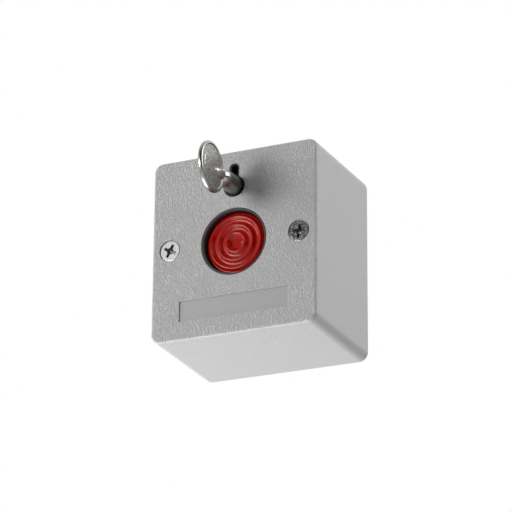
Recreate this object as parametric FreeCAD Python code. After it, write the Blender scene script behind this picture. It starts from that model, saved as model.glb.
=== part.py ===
import FreeCAD, Part
import math
import os

# Wall-mounted panic button. X is right, Y goes into the wall, Z is up.
# The origin is the centre of the back face, which lies on the wall. Sizes are in mm.

# Cover
FACE_WIDTH = 65.0
FACE_HEIGHT = 70.0
DEPTH = 46.0
DRAFT = 0.5
CORNER_RADIUS = 3.5
FRONT_EDGE_RADIUS = 1.0
HOLE_EDGE_RADIUS = 0.25
FRONT_WALL = 3.0
SIDE_WALL = 2.2
INNER_CORNER_LEAST = 0.5
LABEL_WIDTH = 42.6
LABEL_HEIGHT = 7.8
LABEL_FROM_BOTTOM = 10.8
LABEL_DEPTH = 0.45

# Cover screws
SCREW_EDGE = 7.0
SCREW_HEAD_RADIUS = 3.8
SCREW_HEAD_RIM = 0.3
SCREW_SINK = 0.3
SCREW_SHANK_RADIUS = 1.75
SCREW_LENGTH = 16.0
SCREW_CLEARANCE = 0.15
SCREW_SEAT_GAP = 0.35
SCREW_TURNS = (28.0, 10.0)
SEAT_BOSS_RADIUS = 4.2
SEAT_BOSS_HEIGHT = 3.0

# Push button
BUTTON_TRAVEL = 4.0
BUTTON_RADIUS = 11.6
BUTTON_RECESS = 1.5
BUTTON_GAP = 0.4
CAP_THICKNESS = 2.8
CAP_SKIRT = 4.2
CAP_WALL = 1.5
CAP_RIM_ROUND = 0.5
RIDGE_COUNT = 3
RIDGE_FIRST = 3.6
RIDGE_PITCH = 3.12
RIDGE_RISE = 0.9
RIDGE_HALF_WIDTH = 0.55
DIMPLE_RADIUS = 1.8
DIMPLE_DEPTH = 1.3
CAP_BOSS_RADIUS = 4.0
CAP_BOSS_LENGTH = 3.0
STEM_SIDE = 6.0
STEM_CHAMFER = 0.5
SPIGOT_RADIUS = 2.4
GUIDE_CLEARANCE = 0.15

# Mechanism frame
COLLAR_WALL = 0.75
COLLAR_CLEARANCE = 0.1
COLLAR_SINK = 0.4
COLLAR_ROUND = 0.3
CUP_WALL = 2.5
FRAME_DEPTH = 13.0
FRAME_PLATE = 2.0
FRAME_LEDGE = 2.5
FRAME_TOP = 30.3
FRAME_BOTTOM = -14.7
FRAME_CORNER = 4.0
DECK_GAP = 0.7
DECK_HEIGHT = 36.0
FRAME_BOSS_INSET = 4.0
FRAME_BOSS_RADIUS = 3.0
FRAME_BOSS_HEIGHT = 6.0
SHIELD_THICKNESS = 1.2
SHIELD_WIDTH = 20.0
SHIELD_CORNER = 1.5

# Key and lock
KEY_Z = 21.2
KEY_RADIUS = 3.3
KEYHOLE_RADIUS = 4.1
KEYHOLE_SLOT = 3.8
KEYHOLE_REACH = 9.0
KEYHOLE_LINER = 0.4
BIT_REACH = 8.1
BIT_THICKNESS = 2.2
BIT_LENGTH = 5.0
BIT_SETBACK = 1.0
KEY_TIP_LENGTH = 0.5
BOW_RADIUS = 9.5
BOW_STANDOFF = 19.4
BOW_THICKNESS = 1.9
BOW_RIM = 1.1
BOW_FIELD_DEPTH = 0.4
BOW_RIM_ROUND = 0.75
BOW_PAD_LONG = 3.1
BOW_PAD_SHORT = 2.4
BOW_PAD_OUT = 3.8
BOW_PAD_UP = 0.6
BOW_PAD_RISE = 0.2
NOSE_LENGTH = 5.5
SHOULDER_STANDOFF = 6.8
ROOT_RADIUS = 2.0
ROOT_LENGTH = 7.8
ROOT_STANDOFF = 9.5
ROTOR_RADIUS = 5.4
ROTOR_CLEARANCE = 0.1
ROTOR_FLANGE_RADIUS = 6.3
ROTOR_FLANGE_LENGTH = 1.2
ROTOR_PLAY = 0.4
ROTOR_SETOUT = 0.2
SOCKET_WALL = 2.1
BIT_CLEARANCE = 0.2
SWEEP_MARGIN = 20.0
SWEEP_SPACE = 0.6
CAM_THICKNESS = 1.2
CAM_SQUARE = 3.6
CAM_RADIUS = 3.6
CAM_RISE = 1.5
CAM_OVERRUN = 10.0
CAM_STEPS = 12
CAM_RELIEF = 40.0
KEY_TURN = 90.0

# Catch that holds the pressed button
CATCH_THICKNESS = 1.0
CATCH_PLAY = 0.4
CATCH_LEFT = -9.0
CATCH_RIGHT = 9.5
CATCH_HEIGHT = 13.0
CATCH_ARM_WIDTH = 3.5
CATCH_NOSE_RADIUS = 0.8
CATCH_NOSE_GAP = 0.15
CATCH_ARM_OVER = 2.4
CATCH_WINDOW_SPACE = 0.5
CATCH_TAB_LENGTH = 5.8
CATCH_TAB_HEIGHT = 5.6
NOTCH_DEPTH = 1.3
NOTCH_SPACE = 0.25
RAIL_WIDTH = 3.0
RAIL_CLEARANCE = 0.4
RETAINER_LEFT = -16.0
RETAINER_RIGHT = 17.0
RETAINER_THICKNESS = 1.2
RETAINER_SCREW_X = 13.5
PIP_RADIUS = 0.9
PIP_LENGTH = 1.2
CLIP_RADIUS = 5.5
CLIP_THICKNESS = 0.6
CLIP_PLAY = 0.2
CLIP_GROOVE = 0.6

# Springs
BUTTON_SPRING_RADIUS = 5.2
BUTTON_SPRING_WIRE = 0.9
BUTTON_SPRING_TURNS = 5
CATCH_SPRING_RADIUS = 1.5
CATCH_SPRING_WIRE = 0.4
CATCH_SPRING_TURNS = 5
SPRING_STEPS = 8
SPRING_GAP = 0.1

# Base plate
BASE_THICKNESS = 2.5
BASE_RIM = 6.0
BASE_RIM_WALL = 1.5
BASE_CLEARANCE = 0.25
POST_RADIUS = 3.9
POST_FOOT_RADIUS = 5.0
POST_FOOT_HEIGHT = 4.0
PILOT_CLEARANCE = 0.05
PILOT_EXTRA = 1.0
WALL_HOLE_RADIUS = 2.25
WALL_HOLES_WIDE = 40.0
WALL_HOLES_HIGH = 50.0
CABLE_HOLE_WIDTH = 20.0
CABLE_HOLE_HEIGHT = 9.0
CABLE_HOLE_Z = -24.0

# Circuit board
BOARD_GAP = 2.1
BOARD_TOP = 9.0
BOARD_BOTTOM = -13.5
BOARD_THICKNESS = 1.6
BOARD_CORNER = 1.5
BOARD_STANDOFF = 1.5
BOARD_POST_RADIUS = 2.4
BOARD_SCREW_INSET = 2.5

# Microswitch
SWITCH_LENGTH = 19.8
SWITCH_DEPTH = 10.2
SWITCH_HEIGHT = 6.4
SWITCH_LEFT = -14.9
PIVOT_INSET = 2.5
PIVOT_HEIGHT = 0.7
PIVOT_RADIUS = 0.5
PIVOT_CLEARANCE = 0.05
EAR_WIDTH = 1.0
EAR_RADIUS = 1.2
LEVER_LENGTH = 14.0
LEVER_THICKNESS = 0.35
LEVER_WIDTH = 3.2
LEVER_HUB_RADIUS = 0.85
LEVER_PRESSED_ANGLE = 1.0
PLUNGER_ARM = 4.4
PLUNGER_RADIUS = 1.0
PLUNGER_LENGTH = 4.0
PLUNGER_CLEARANCE = 0.08
CONTACT_GAP = 0.15
SWITCH_HOLE_RADIUS = 1.15
SWITCH_HOLE_SPACING = 9.5
SWITCH_HOLE_DEPTH = 6.6
PIN_WIDTH = 1.2
PIN_THICKNESS = 0.6
PIN_REACH = 1.0
PIN_OFFSETS = (1.9, 9.9, 17.9)
PIN_CLEARANCE = 0.1

# Cable terminals
TERMINAL_COUNT = 4
TERMINAL_PITCH = 5.0
TERMINAL_DEPTH = 10.0
TERMINAL_HEIGHT = 8.0
TERMINAL_Z = -8.7
CLAMP_WIDTH = 3.4
CLAMP_HEIGHT = 5.0
CLAMP_DEPTH = 4.4
CLAMP_FLOOR = 0.8
CLAMP_WALL = 0.6
CLAMP_CLEARANCE = 0.1
CLAMP_PIN_RADIUS = 0.5
WIRE_HOLE_RADIUS = 1.2
TERMINAL_SCREW_HEAD = 1.7
TERMINAL_SCREW_SHANK = 1.1
TERMINAL_SCREW_SINK = 1.5
TERMINAL_SCREW_LENGTH = 4.0
TERMINAL_WELL_RADIUS = 2.0

# Driver recesses and screw heads, as shares of their radius
RECESS_WING = 0.42
RECESS_TIP = 0.3
COVER_RECESS_REACH = 0.7
PAN_RECESS_REACH = 0.5
PAN_CROWN_RADIUS = 0.72
PAN_CROWN_HEIGHT = 0.5
SLOT_HALF_WIDTH = 0.15
SCREW_POINT_RADIUS = 0.3

# Small pan-head screws: head radius, head height, shank radius, length under the head
FRAME_SCREW = (2.6, 1.8, 1.2, 7.0)
RETAINER_SCREW = (1.6, 1.1, 0.8, 4.6)
BOARD_SCREW = (2.1, 1.4, 0.85, 4.2)
CAM_SCREW = (2.9, 1.4, 1.1, 3.2)

# Planes along the depth, worked out from the sizes above
FRONT_Y = -DEPTH
INNER_Y = FRONT_Y + FRONT_WALL
CREST_Y = FRONT_Y + BUTTON_RECESS
CAP_UNDER_Y = CREST_Y + CAP_THICKNESS
CAP_BOSS_Y = CAP_UNDER_Y + CAP_BOSS_LENGTH
DECK_Y = INNER_Y + FRAME_BOSS_HEIGHT
PLATE_FRONT_Y = INNER_Y + FRAME_DEPTH
PLATE_REAR_Y = PLATE_FRONT_Y + FRAME_PLATE
SHIELD_REAR_Y = INNER_Y + SHIELD_THICKNESS
CATCH_FRONT_Y = PLATE_REAR_Y + CATCH_PLAY
CATCH_REAR_Y = CATCH_FRONT_Y + CATCH_THICKNESS
RETAINER_FRONT_Y = CATCH_REAR_Y + CATCH_PLAY
RETAINER_REAR_Y = RETAINER_FRONT_Y + RETAINER_THICKNESS
TAB_END_Y = CATCH_REAR_Y + CATCH_TAB_LENGTH
CATCH_SPRING_Y = RETAINER_REAR_Y + (TAB_END_Y - RETAINER_REAR_Y) / 2
CLIP_Y = RETAINER_REAR_Y + CLIP_PLAY
ROTOR_FRONT_Y = SHIELD_REAR_Y + ROTOR_PLAY
ROTOR_REAR_Y = PLATE_REAR_Y + ROTOR_SETOUT
BIT_REAR_Y = PLATE_FRONT_Y - BIT_SETBACK
KEY_TIP_Y = BIT_REAR_Y + KEY_TIP_LENGTH
KEY_BORE_Y = KEY_TIP_Y + ROTOR_PLAY
POST_TOP_Y = INNER_Y + SEAT_BOSS_HEIGHT
BOARD_REAR_Y = -BASE_THICKNESS - BOARD_STANDOFF
BOARD_FRONT_Y = BOARD_REAR_Y - BOARD_THICKNESS
SWITCH_FRONT_Y = BOARD_FRONT_Y - SWITCH_DEPTH
PIVOT_Y = SWITCH_FRONT_Y - PIVOT_HEIGHT
PIVOT_X = SWITCH_LEFT + PIVOT_INSET
TERMINAL_FRONT_Y = BOARD_FRONT_Y - TERMINAL_DEPTH

# Lever angle at rest, from the angle that it has when the button is fully pressed
LEVER_REST_ANGLE = math.degrees(
    math.asin(BUTTON_TRAVEL / LEVER_LENGTH + math.sin(math.radians(LEVER_PRESSED_ANGLE)))
)
LEVER_TIP_Y = PIVOT_Y - LEVER_LENGTH * math.sin(math.radians(LEVER_REST_ANGLE))
STEM_END_Y = LEVER_TIP_Y - LEVER_THICKNESS / 2 - CONTACT_GAP

# Places and widths that follow the face and the screw posts
SCREW_X = FACE_WIDTH / 2 - SCREW_EDGE
SCREW_PLACES = ((-SCREW_X, 0.0), (SCREW_X, 0.0))
LABEL_Z = LABEL_FROM_BOTTOM - FACE_HEIGHT / 2
DECK_WIDTH = 2 * (SCREW_X - POST_RADIUS - DECK_GAP)
FRAME_WIDTH = DECK_WIDTH - 2 * FRAME_LEDGE
FRAME_BOSS_X = DECK_WIDTH / 2 - FRAME_BOSS_INSET
FRAME_BOSS_Z = DECK_HEIGHT / 2 - FRAME_BOSS_INSET
BOARD_WIDTH = 2 * (SCREW_X - POST_FOOT_RADIUS - BOARD_GAP)
BOARD_SCREW_X = BOARD_WIDTH / 2 - BOARD_SCREW_INSET

# Radii and places that follow the button, the key and the catch
HOLE_RADIUS = BUTTON_RADIUS + BUTTON_GAP + COLLAR_WALL + COLLAR_CLEARANCE
COLLAR_INNER = BUTTON_RADIUS + BUTTON_GAP
COLLAR_OUTER = COLLAR_INNER + COLLAR_WALL
SOCKET_BORE = ROTOR_RADIUS + ROTOR_CLEARANCE
CATCH_TAB_X = CATCH_RIGHT - CATCH_THICKNESS
RETAINER_TAB_X = RETAINER_RIGHT - RETAINER_THICKNESS
RAIL_Z = CATCH_HEIGHT / 2 + RAIL_CLEARANCE
RETAINER_SCREW_Z = RAIL_Z + RAIL_WIDTH / 2
Y_AXIS = FreeCAD.Vector(0, 1, 0)


def box(x0, x1, y0, y1, z0, z1):
    """Block between two corners."""
    return Part.makeBox(x1 - x0, y1 - y0, z1 - z0, FreeCAD.Vector(x0, y0, z0))


def rod(radius, y0, y1, x=0.0, z=0.0):
    """Round bar along Y."""
    return Part.makeCylinder(radius, y1 - y0, FreeCAD.Vector(x, y0, z), Y_AXIS)


def rod_across(radius, x0, x1, y, z):
    """Round bar along X."""
    return Part.makeCylinder(radius, x1 - x0, FreeCAD.Vector(x0, y, z), FreeCAD.Vector(1, 0, 0))


def rod_up(radius, z0, z1, x, y):
    """Round bar along Z."""
    return Part.makeCylinder(radius, z1 - z0, FreeCAD.Vector(x, y, z0), FreeCAD.Vector(0, 0, 1))


def cone(radius0, radius1, y0, y1, x=0.0, z=0.0):
    """Cone along Y from radius0 at y0 to radius1 at y1."""
    return Part.makeCone(radius0, radius1, y1 - y0, FreeCAD.Vector(x, y0, z), Y_AXIS)


def square_bar(side, y0, y1, z=0.0):
    """Square bar along Y."""
    return box(-side / 2, side / 2, y0, y1, z - side / 2, z + side / 2)


def fused(shapes):
    """One solid from several that touch."""
    return shapes[0].fuse(list(shapes[1:])).removeSplitter()


def four_corners(x, z0, z1):
    """The corners of a rectangle that is centred in X."""
    return [(side * x, z) for side in (-1, 1) for z in (z0, z1)]


def rounded_outline(width, height, radius, y, centre_z=0.0):
    """Closed wire: a rectangle with round corners, in the plane at y."""
    half_x = width / 2 - radius
    half_z = height / 2 - radius
    arcs = []
    for side_x, side_z, start in ((1, 1, 0), (-1, 1, 90), (-1, -1, 180), (1, -1, 270)):
        points = []
        for turn in (0, 45, 90):
            angle = math.radians(start + turn)
            x = side_x * half_x + radius * math.cos(angle)
            z = side_z * half_z + radius * math.sin(angle)
            points.append(FreeCAD.Vector(x, y, centre_z + z))
        arcs.append(Part.Arc(*points))
    edges = []
    for arc, following in zip(arcs, arcs[1:] + arcs[:1]):
        edges.append(arc.toShape())
        edges.append(Part.makeLine(arc.EndPoint, following.StartPoint))
    return Part.Wire(edges)


def rounded_block(width, height, radius, y0, y1, centre_z=0.0):
    """Straight block with round corners along Y."""
    face = Part.Face(rounded_outline(width, height, radius, y0, centre_z))
    return face.extrude(FreeCAD.Vector(0, y1 - y0, 0))


def cover_block(inset, y0, y1):
    """Drafted block that follows the cover's outer walls, inset from them."""
    wires = []
    for y in (y0, y1):
        grow = 2 * DRAFT * (y - FRONT_Y) / DEPTH
        radius = max(CORNER_RADIUS - inset, INNER_CORNER_LEAST)
        width = FACE_WIDTH + grow - 2 * inset
        height = FACE_HEIGHT + grow - 2 * inset
        wires.append(rounded_outline(width, height, radius, y))
    return Part.makeLoft(wires, True, True)


def turned(profile_edges):
    """Solid of revolution about Y from edges in the XY plane."""
    face = Part.Face(Part.Wire(profile_edges))
    return face.revolve(FreeCAD.Vector(0, 0, 0), Y_AXIS, 360)


def polyline(points):
    """Straight edges through points (radius, y)."""
    corners = [FreeCAD.Vector(radius, y, 0) for radius, y in points]
    return [Part.makeLine(a, b) for a, b in zip(corners, corners[1:])]


def cross_recess(x, z, y, towards, reach, turn=0.0):
    """Cross-shaped driver recess: four tapering wings that start at y."""
    depth = reach
    wing = reach * RECESS_WING
    low = min(y, y + towards * depth)
    high = max(y, y + towards * depth)
    tip = reach * RECESS_TIP
    radii = (reach, tip) if towards > 0 else (tip, reach)
    taper = cone(radii[0], radii[1], low, high, x, z)
    bars = box(x - reach, x + reach, low, high, z - wing / 2, z + wing / 2)
    bars = bars.fuse(box(x - wing / 2, x + wing / 2, low, high, z - reach, z + reach))
    wings = bars.common(taper)
    wings.rotate(FreeCAD.Vector(x, y, z), Y_AXIS, turn)
    return wings


def pan_screw(x, z, seat_y, towards, sizes):
    """Pan-head screw whose shank runs from its seat along Y; towards is its direction."""
    head_radius, head_height, shank_radius, length = sizes
    top_y = seat_y - towards * head_height
    edge_y = seat_y - towards * head_height * PAN_CROWN_HEIGHT
    crown_radius = head_radius * PAN_CROWN_RADIUS
    ends = sorted((seat_y, edge_y))
    head = rod(head_radius, ends[0], ends[1], x, z)
    if towards > 0:
        crown = cone(crown_radius, head_radius, top_y, edge_y, x, z)
    else:
        crown = cone(head_radius, crown_radius, edge_y, top_y, x, z)
    ends = sorted((seat_y, seat_y + towards * length))
    shank = rod(shank_radius, ends[0], ends[1], x, z)
    recess = cross_recess(x, z, top_y, towards, head_radius * PAN_RECESS_REACH)
    return fused([head, crown, shank]).cut(recess)


def coil_spring(mean_radius, wire, length, turns):
    """Compression spring along +Z, from 0 to its length: a chain of arcs through a helix."""
    steps = turns * SPRING_STEPS
    points = []
    for step in range(steps + 1):
        angle = 2 * math.pi * step / SPRING_STEPS
        x = mean_radius * math.cos(angle)
        y = mean_radius * math.sin(angle)
        points.append(FreeCAD.Vector(x, y, wire / 2 + (length - wire) * step / steps))
    arcs = [Part.Arc(*points[step:step + 3]).toShape() for step in range(0, steps, 2)]
    heading = arcs[0].tangentAt(arcs[0].FirstParameter)
    section = Part.Wire(Part.makeCircle(wire / 2, points[0], heading))
    return Part.Wire(arcs).makePipeShell([section], True)


def keyhole_cut(margin, y0, y1):
    """Round hole with a slot above it, for the key's shaft and bit."""
    slot_radius = KEYHOLE_SLOT / 2 + margin
    top_z = KEY_Z + KEYHOLE_REACH + margin - slot_radius
    hole = rod(KEYHOLE_RADIUS + margin, y0, y1, 0.0, KEY_Z)
    slot = box(-slot_radius, slot_radius, y0, y1, KEY_Z, top_z)
    return fused([hole, slot, rod(slot_radius, y0, y1, 0.0, top_z)])


def screw_seat(x, z):
    """Countersunk seat and clearance hole through the front wall and its boss."""
    radius = SCREW_HEAD_RADIUS + SCREW_CLEARANCE
    hole_radius = SCREW_SHANK_RADIUS + SCREW_CLEARANCE
    cone_y = FRONT_Y + SCREW_SINK + SCREW_HEAD_RIM
    cone_end_y = cone_y + radius - hole_radius
    rim = rod(SCREW_HEAD_RADIUS + SCREW_SEAT_GAP, FRONT_Y, cone_y, x, z)
    sink = cone(radius, hole_radius, cone_y, cone_end_y, x, z)
    return fused([rim, sink, rod(hole_radius, cone_end_y, POST_TOP_Y, x, z)])


def housing():
    """Deep moulded cover, open at the back."""
    outer = cover_block(0.0, FRONT_Y, 0.0)
    front_edges = []
    for edge in outer.Edges:
        if all(abs(vertex.Y - FRONT_Y) < 1e-6 for vertex in edge.Vertexes):
            front_edges.append(edge)
    body = outer.makeFillet(FRONT_EDGE_RADIUS, front_edges)
    body = body.cut(cover_block(SIDE_WALL, INNER_Y, 0.0))
    bosses = [rod(SEAT_BOSS_RADIUS, INNER_Y, POST_TOP_Y, x, z) for x, z in SCREW_PLACES]
    for x, z in four_corners(FRAME_BOSS_X, -FRAME_BOSS_Z, FRAME_BOSS_Z):
        bosses.append(rod(FRAME_BOSS_RADIUS, INNER_Y, DECK_Y, x, z))
    body = fused([body] + bosses)
    cuts = [rod(HOLE_RADIUS, FRONT_Y, INNER_Y), keyhole_cut(0.0, FRONT_Y, INNER_Y)]
    cuts += [screw_seat(x, z) for x, z in SCREW_PLACES]
    label_z0 = LABEL_Z - LABEL_HEIGHT / 2
    label_z1 = LABEL_Z + LABEL_HEIGHT / 2
    label_y = FRONT_Y + LABEL_DEPTH
    cuts.append(box(-LABEL_WIDTH / 2, LABEL_WIDTH / 2, FRONT_Y, label_y, label_z0, label_z1))
    pilot_radius = FRAME_SCREW[2] + PILOT_CLEARANCE
    pilot_y = DECK_Y + FRAME_PLATE - FRAME_SCREW[3] - PILOT_CLEARANCE
    for x, z in four_corners(FRAME_BOSS_X, -FRAME_BOSS_Z, FRAME_BOSS_Z):
        cuts.append(rod(pilot_radius, pilot_y, DECK_Y, x, z))
    body = body.cut(cuts)
    edges = edges_at(body, FRONT_Y, 0.0, HOLE_RADIUS) + edges_at(body, FRONT_Y, KEY_Z, KEYHOLE_REACH)
    return body.makeFillet(HOLE_EDGE_RADIUS, edges)


def edges_at(body, y, z, reach):
    """Edges in the plane at y that lie within reach of the middle line's point at z."""
    edges = []
    for edge in body.Edges:
        bounds = edge.BoundBox
        flat = max(abs(bounds.YMin - y), abs(bounds.YMax - y)) < 1e-4
        far = max(abs(bounds.XMin), abs(bounds.XMax), abs(bounds.ZMin - z), abs(bounds.ZMax - z))
        if flat and far < reach + 1e-3:
            edges.append(edge)
    return edges


def cover_screws():
    """Countersunk cross-recess screws that hold the cover to the base plate's posts."""
    screws = []
    for (x, z), turn in zip(SCREW_PLACES, SCREW_TURNS):
        top_y = FRONT_Y + SCREW_SINK
        cone_y = top_y + SCREW_HEAD_RIM
        cone_end_y = cone_y + SCREW_HEAD_RADIUS - SCREW_SHANK_RADIUS
        tip_y = top_y + SCREW_LENGTH
        rim = rod(SCREW_HEAD_RADIUS, top_y, cone_y, x, z)
        head = cone(SCREW_HEAD_RADIUS, SCREW_SHANK_RADIUS, cone_y, cone_end_y, x, z)
        shank = rod(SCREW_SHANK_RADIUS, cone_end_y, tip_y - SCREW_SHANK_RADIUS, x, z)
        point = cone(SCREW_SHANK_RADIUS, SCREW_POINT_RADIUS, tip_y - SCREW_SHANK_RADIUS, tip_y, x, z)
        reach = SCREW_HEAD_RADIUS * COVER_RECESS_REACH
        recess = cross_recess(x, z, top_y, 1, reach, turn)
        screws.append(fused([rim, head, shank, point]).cut(recess))
    return Part.makeCompound(screws)


def base_plate():
    """Wall plate: a shallow tray inside the cover's rim, with posts, holes and cable inlet."""
    edge = SIDE_WALL + BASE_CLEARANCE
    tray = cover_block(edge, -BASE_RIM, 0.0)
    tray = tray.cut(cover_block(edge + BASE_RIM_WALL, -BASE_RIM, -BASE_THICKNESS))
    posts = []
    for x, z in SCREW_PLACES:
        foot_y = -BASE_THICKNESS - POST_FOOT_HEIGHT
        posts.append(rod(POST_RADIUS, POST_TOP_Y, -BASE_THICKNESS, x, z))
        posts.append(cone(POST_RADIUS, POST_FOOT_RADIUS, foot_y, -BASE_THICKNESS, x, z))
    for x, z in board_screw_places():
        posts.append(rod(BOARD_POST_RADIUS, BOARD_REAR_Y, -BASE_THICKNESS, x, z))
    plate = fused([tray] + posts)
    cuts = []
    pilot_end_y = FRONT_Y + SCREW_SINK + SCREW_LENGTH + PILOT_EXTRA
    for x, z in SCREW_PLACES:
        cuts.append(rod(SCREW_SHANK_RADIUS + PILOT_CLEARANCE, POST_TOP_Y, pilot_end_y, x, z))
    board_pilot_y = BOARD_FRONT_Y + BOARD_SCREW[3] + PILOT_CLEARANCE
    for x, z in board_screw_places():
        cuts.append(rod(BOARD_SCREW[2] + PILOT_CLEARANCE, BOARD_REAR_Y, board_pilot_y, x, z))
    half_high = WALL_HOLES_HIGH / 2
    for x, z in four_corners(WALL_HOLES_WIDE / 2, -half_high, half_high):
        cuts.append(rod(WALL_HOLE_RADIUS, -BASE_THICKNESS, 0.0, x, z))
    cuts.append(cable_hole())
    return plate.cut(cuts)


def cable_hole():
    """Long hole with round ends through the base plate."""
    radius = CABLE_HOLE_HEIGHT / 2
    half = CABLE_HOLE_WIDTH / 2 - radius
    middle = box(-half, half, -BASE_THICKNESS, 0.0, CABLE_HOLE_Z - radius, CABLE_HOLE_Z + radius)
    ends = [rod(radius, -BASE_THICKNESS, 0.0, x, CABLE_HOLE_Z) for x in (-half, half)]
    return fused([middle] + ends)


def button_cap():
    """Red cap: concentric round ridges about a central dimple, with a skirt and a boss."""
    trough_y = CREST_Y + RIDGE_RISE
    trough_half_width = RIDGE_PITCH / 2 - RIDGE_HALF_WIDTH
    join_y = CREST_Y + RIDGE_RISE * RIDGE_HALF_WIDTH / (RIDGE_PITCH / 2)
    edges = polyline([(0.0, CREST_Y + DIMPLE_DEPTH), (DIMPLE_RADIUS, CREST_Y + DIMPLE_DEPTH),
                      (RIDGE_FIRST - RIDGE_HALF_WIDTH, join_y)])
    for ridge in range(RIDGE_COUNT):
        crest = RIDGE_FIRST + ridge * RIDGE_PITCH
        if ridge:
            edges.append(wave(crest - RIDGE_PITCH / 2, trough_y, trough_half_width, join_y))
        edges.append(wave(crest, CREST_Y, RIDGE_HALF_WIDTH, join_y))
    last = RIDGE_FIRST + (RIDGE_COUNT - 1) * RIDGE_PITCH + RIDGE_HALF_WIDTH
    corner = BUTTON_RADIUS - CAP_RIM_ROUND
    bend = CAP_RIM_ROUND * (1 - math.sqrt(0.5))
    edges += polyline([(last, join_y), (corner, trough_y)])
    edges.append(Part.Arc(FreeCAD.Vector(corner, trough_y, 0),
                          FreeCAD.Vector(BUTTON_RADIUS - bend, trough_y + bend, 0),
                          FreeCAD.Vector(BUTTON_RADIUS, trough_y + CAP_RIM_ROUND, 0)).toShape())
    skirt_y = CAP_UNDER_Y + CAP_SKIRT
    inner = BUTTON_RADIUS - CAP_WALL
    edges += polyline([(BUTTON_RADIUS, trough_y + CAP_RIM_ROUND), (BUTTON_RADIUS, skirt_y),
                       (inner, skirt_y), (inner, CAP_UNDER_Y), (CAP_BOSS_RADIUS, CAP_UNDER_Y),
                       (CAP_BOSS_RADIUS, CAP_BOSS_Y), (SPIGOT_RADIUS, CAP_BOSS_Y),
                       (SPIGOT_RADIUS, CAP_UNDER_Y), (0.0, CAP_UNDER_Y),
                       (0.0, CREST_Y + DIMPLE_DEPTH)])
    return turned(edges)


def wave(middle, peak_y, half_width, join_y):
    """One ridge or trough of the cap's face: an arc that meets its neighbours at join_y."""
    return Part.Arc(FreeCAD.Vector(middle - half_width, join_y, 0),
                    FreeCAD.Vector(middle, peak_y, 0),
                    FreeCAD.Vector(middle + half_width, join_y, 0)).toShape()


def button_stem():
    """Square stem pressed into the cap, with the catch's notch and the clip's grooves."""
    half = STEM_SIDE / 2
    bar = square_bar(STEM_SIDE, CAP_BOSS_Y, STEM_END_Y)
    end_edges = []
    for edge in bar.Edges:
        if all(abs(vertex.Y - STEM_END_Y) < 1e-6 for vertex in edge.Vertexes):
            end_edges.append(edge)
    bar = bar.makeChamfer(STEM_CHAMFER, end_edges)
    bar = fused([bar, rod(SPIGOT_RADIUS, CAP_UNDER_Y, CAP_BOSS_Y)])
    notch_y0 = CATCH_FRONT_Y - BUTTON_TRAVEL - NOTCH_SPACE
    notch_y1 = CATCH_REAR_Y - BUTTON_TRAVEL + NOTCH_SPACE
    cuts = [box(half - NOTCH_DEPTH, half, notch_y0, notch_y1, -half, half)]
    groove_y1 = CLIP_Y + CLIP_THICKNESS
    cuts.append(box(half - CLIP_GROOVE, half, CLIP_Y, groove_y1, -half, half))
    cuts.append(box(-half, CLIP_GROOVE - half, CLIP_Y, groove_y1, -half, half))
    return bar.cut(cuts)


def stem_clip():
    """Flat clip pushed on to the stem's grooves from below."""
    slot = STEM_SIDE / 2 - CLIP_GROOVE
    disc = rod(CLIP_RADIUS, CLIP_Y, CLIP_Y + CLIP_THICKNESS)
    opening = box(-slot, slot, CLIP_Y, CLIP_Y + CLIP_THICKNESS, -CLIP_RADIUS, STEM_SIDE / 2)
    return disc.cut(opening)


def button_spring():
    """Return spring round the stem, from the cap's underside to the frame's plate."""
    length = PLATE_FRONT_Y - CAP_UNDER_Y - 2 * SPRING_GAP
    spring = coil_spring(BUTTON_SPRING_RADIUS, BUTTON_SPRING_WIRE, length, BUTTON_SPRING_TURNS)
    spring.rotate(FreeCAD.Vector(0, 0, 0), FreeCAD.Vector(1, 0, 0), -90)
    spring.translate(FreeCAD.Vector(0, CAP_UNDER_Y + SPRING_GAP, 0))
    return spring


def sweep_pocket():
    """Space that the key's bit needs while it turns, as a pie slice along Y."""
    radius = BIT_REACH + SWEEP_SPACE
    centre = FreeCAD.Vector(0, SHIELD_REAR_Y, KEY_Z)
    points = []
    for turn in (-SWEEP_MARGIN, KEY_TURN / 2, KEY_TURN + SWEEP_MARGIN):
        angle = math.radians(turn)
        points.append(centre + FreeCAD.Vector(radius * math.sin(angle), 0, radius * math.cos(angle)))
    arc = Part.Arc(*points).toShape()
    outline = Part.Wire([Part.makeLine(centre, points[0]), arc, Part.makeLine(points[2], centre)])
    return Part.Face(outline).extrude(FreeCAD.Vector(0, PLATE_FRONT_Y - SHIELD_REAR_Y, 0))


def catch_rails():
    """Two rails behind the frame's plate; the upper one leaves a gap for the catch's arm."""
    left = RETAINER_LEFT
    right = -RETAINER_LEFT
    gap_left = CATCH_RIGHT - CATCH_ARM_WIDTH - RAIL_CLEARANCE
    gap_right = CATCH_RIGHT + CAM_RISE + RAIL_CLEARANCE
    rails = []
    for z0 in (-RAIL_Z - RAIL_WIDTH, RAIL_Z):
        rails.append(box(left, right, PLATE_REAR_Y, RETAINER_FRONT_Y, z0, z0 + RAIL_WIDTH))
    rails[1] = rails[1].cut(box(gap_left, gap_right, PLATE_REAR_Y, RETAINER_FRONT_Y,
                                RAIL_Z, RAIL_Z + RAIL_WIDTH))
    return rails


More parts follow.
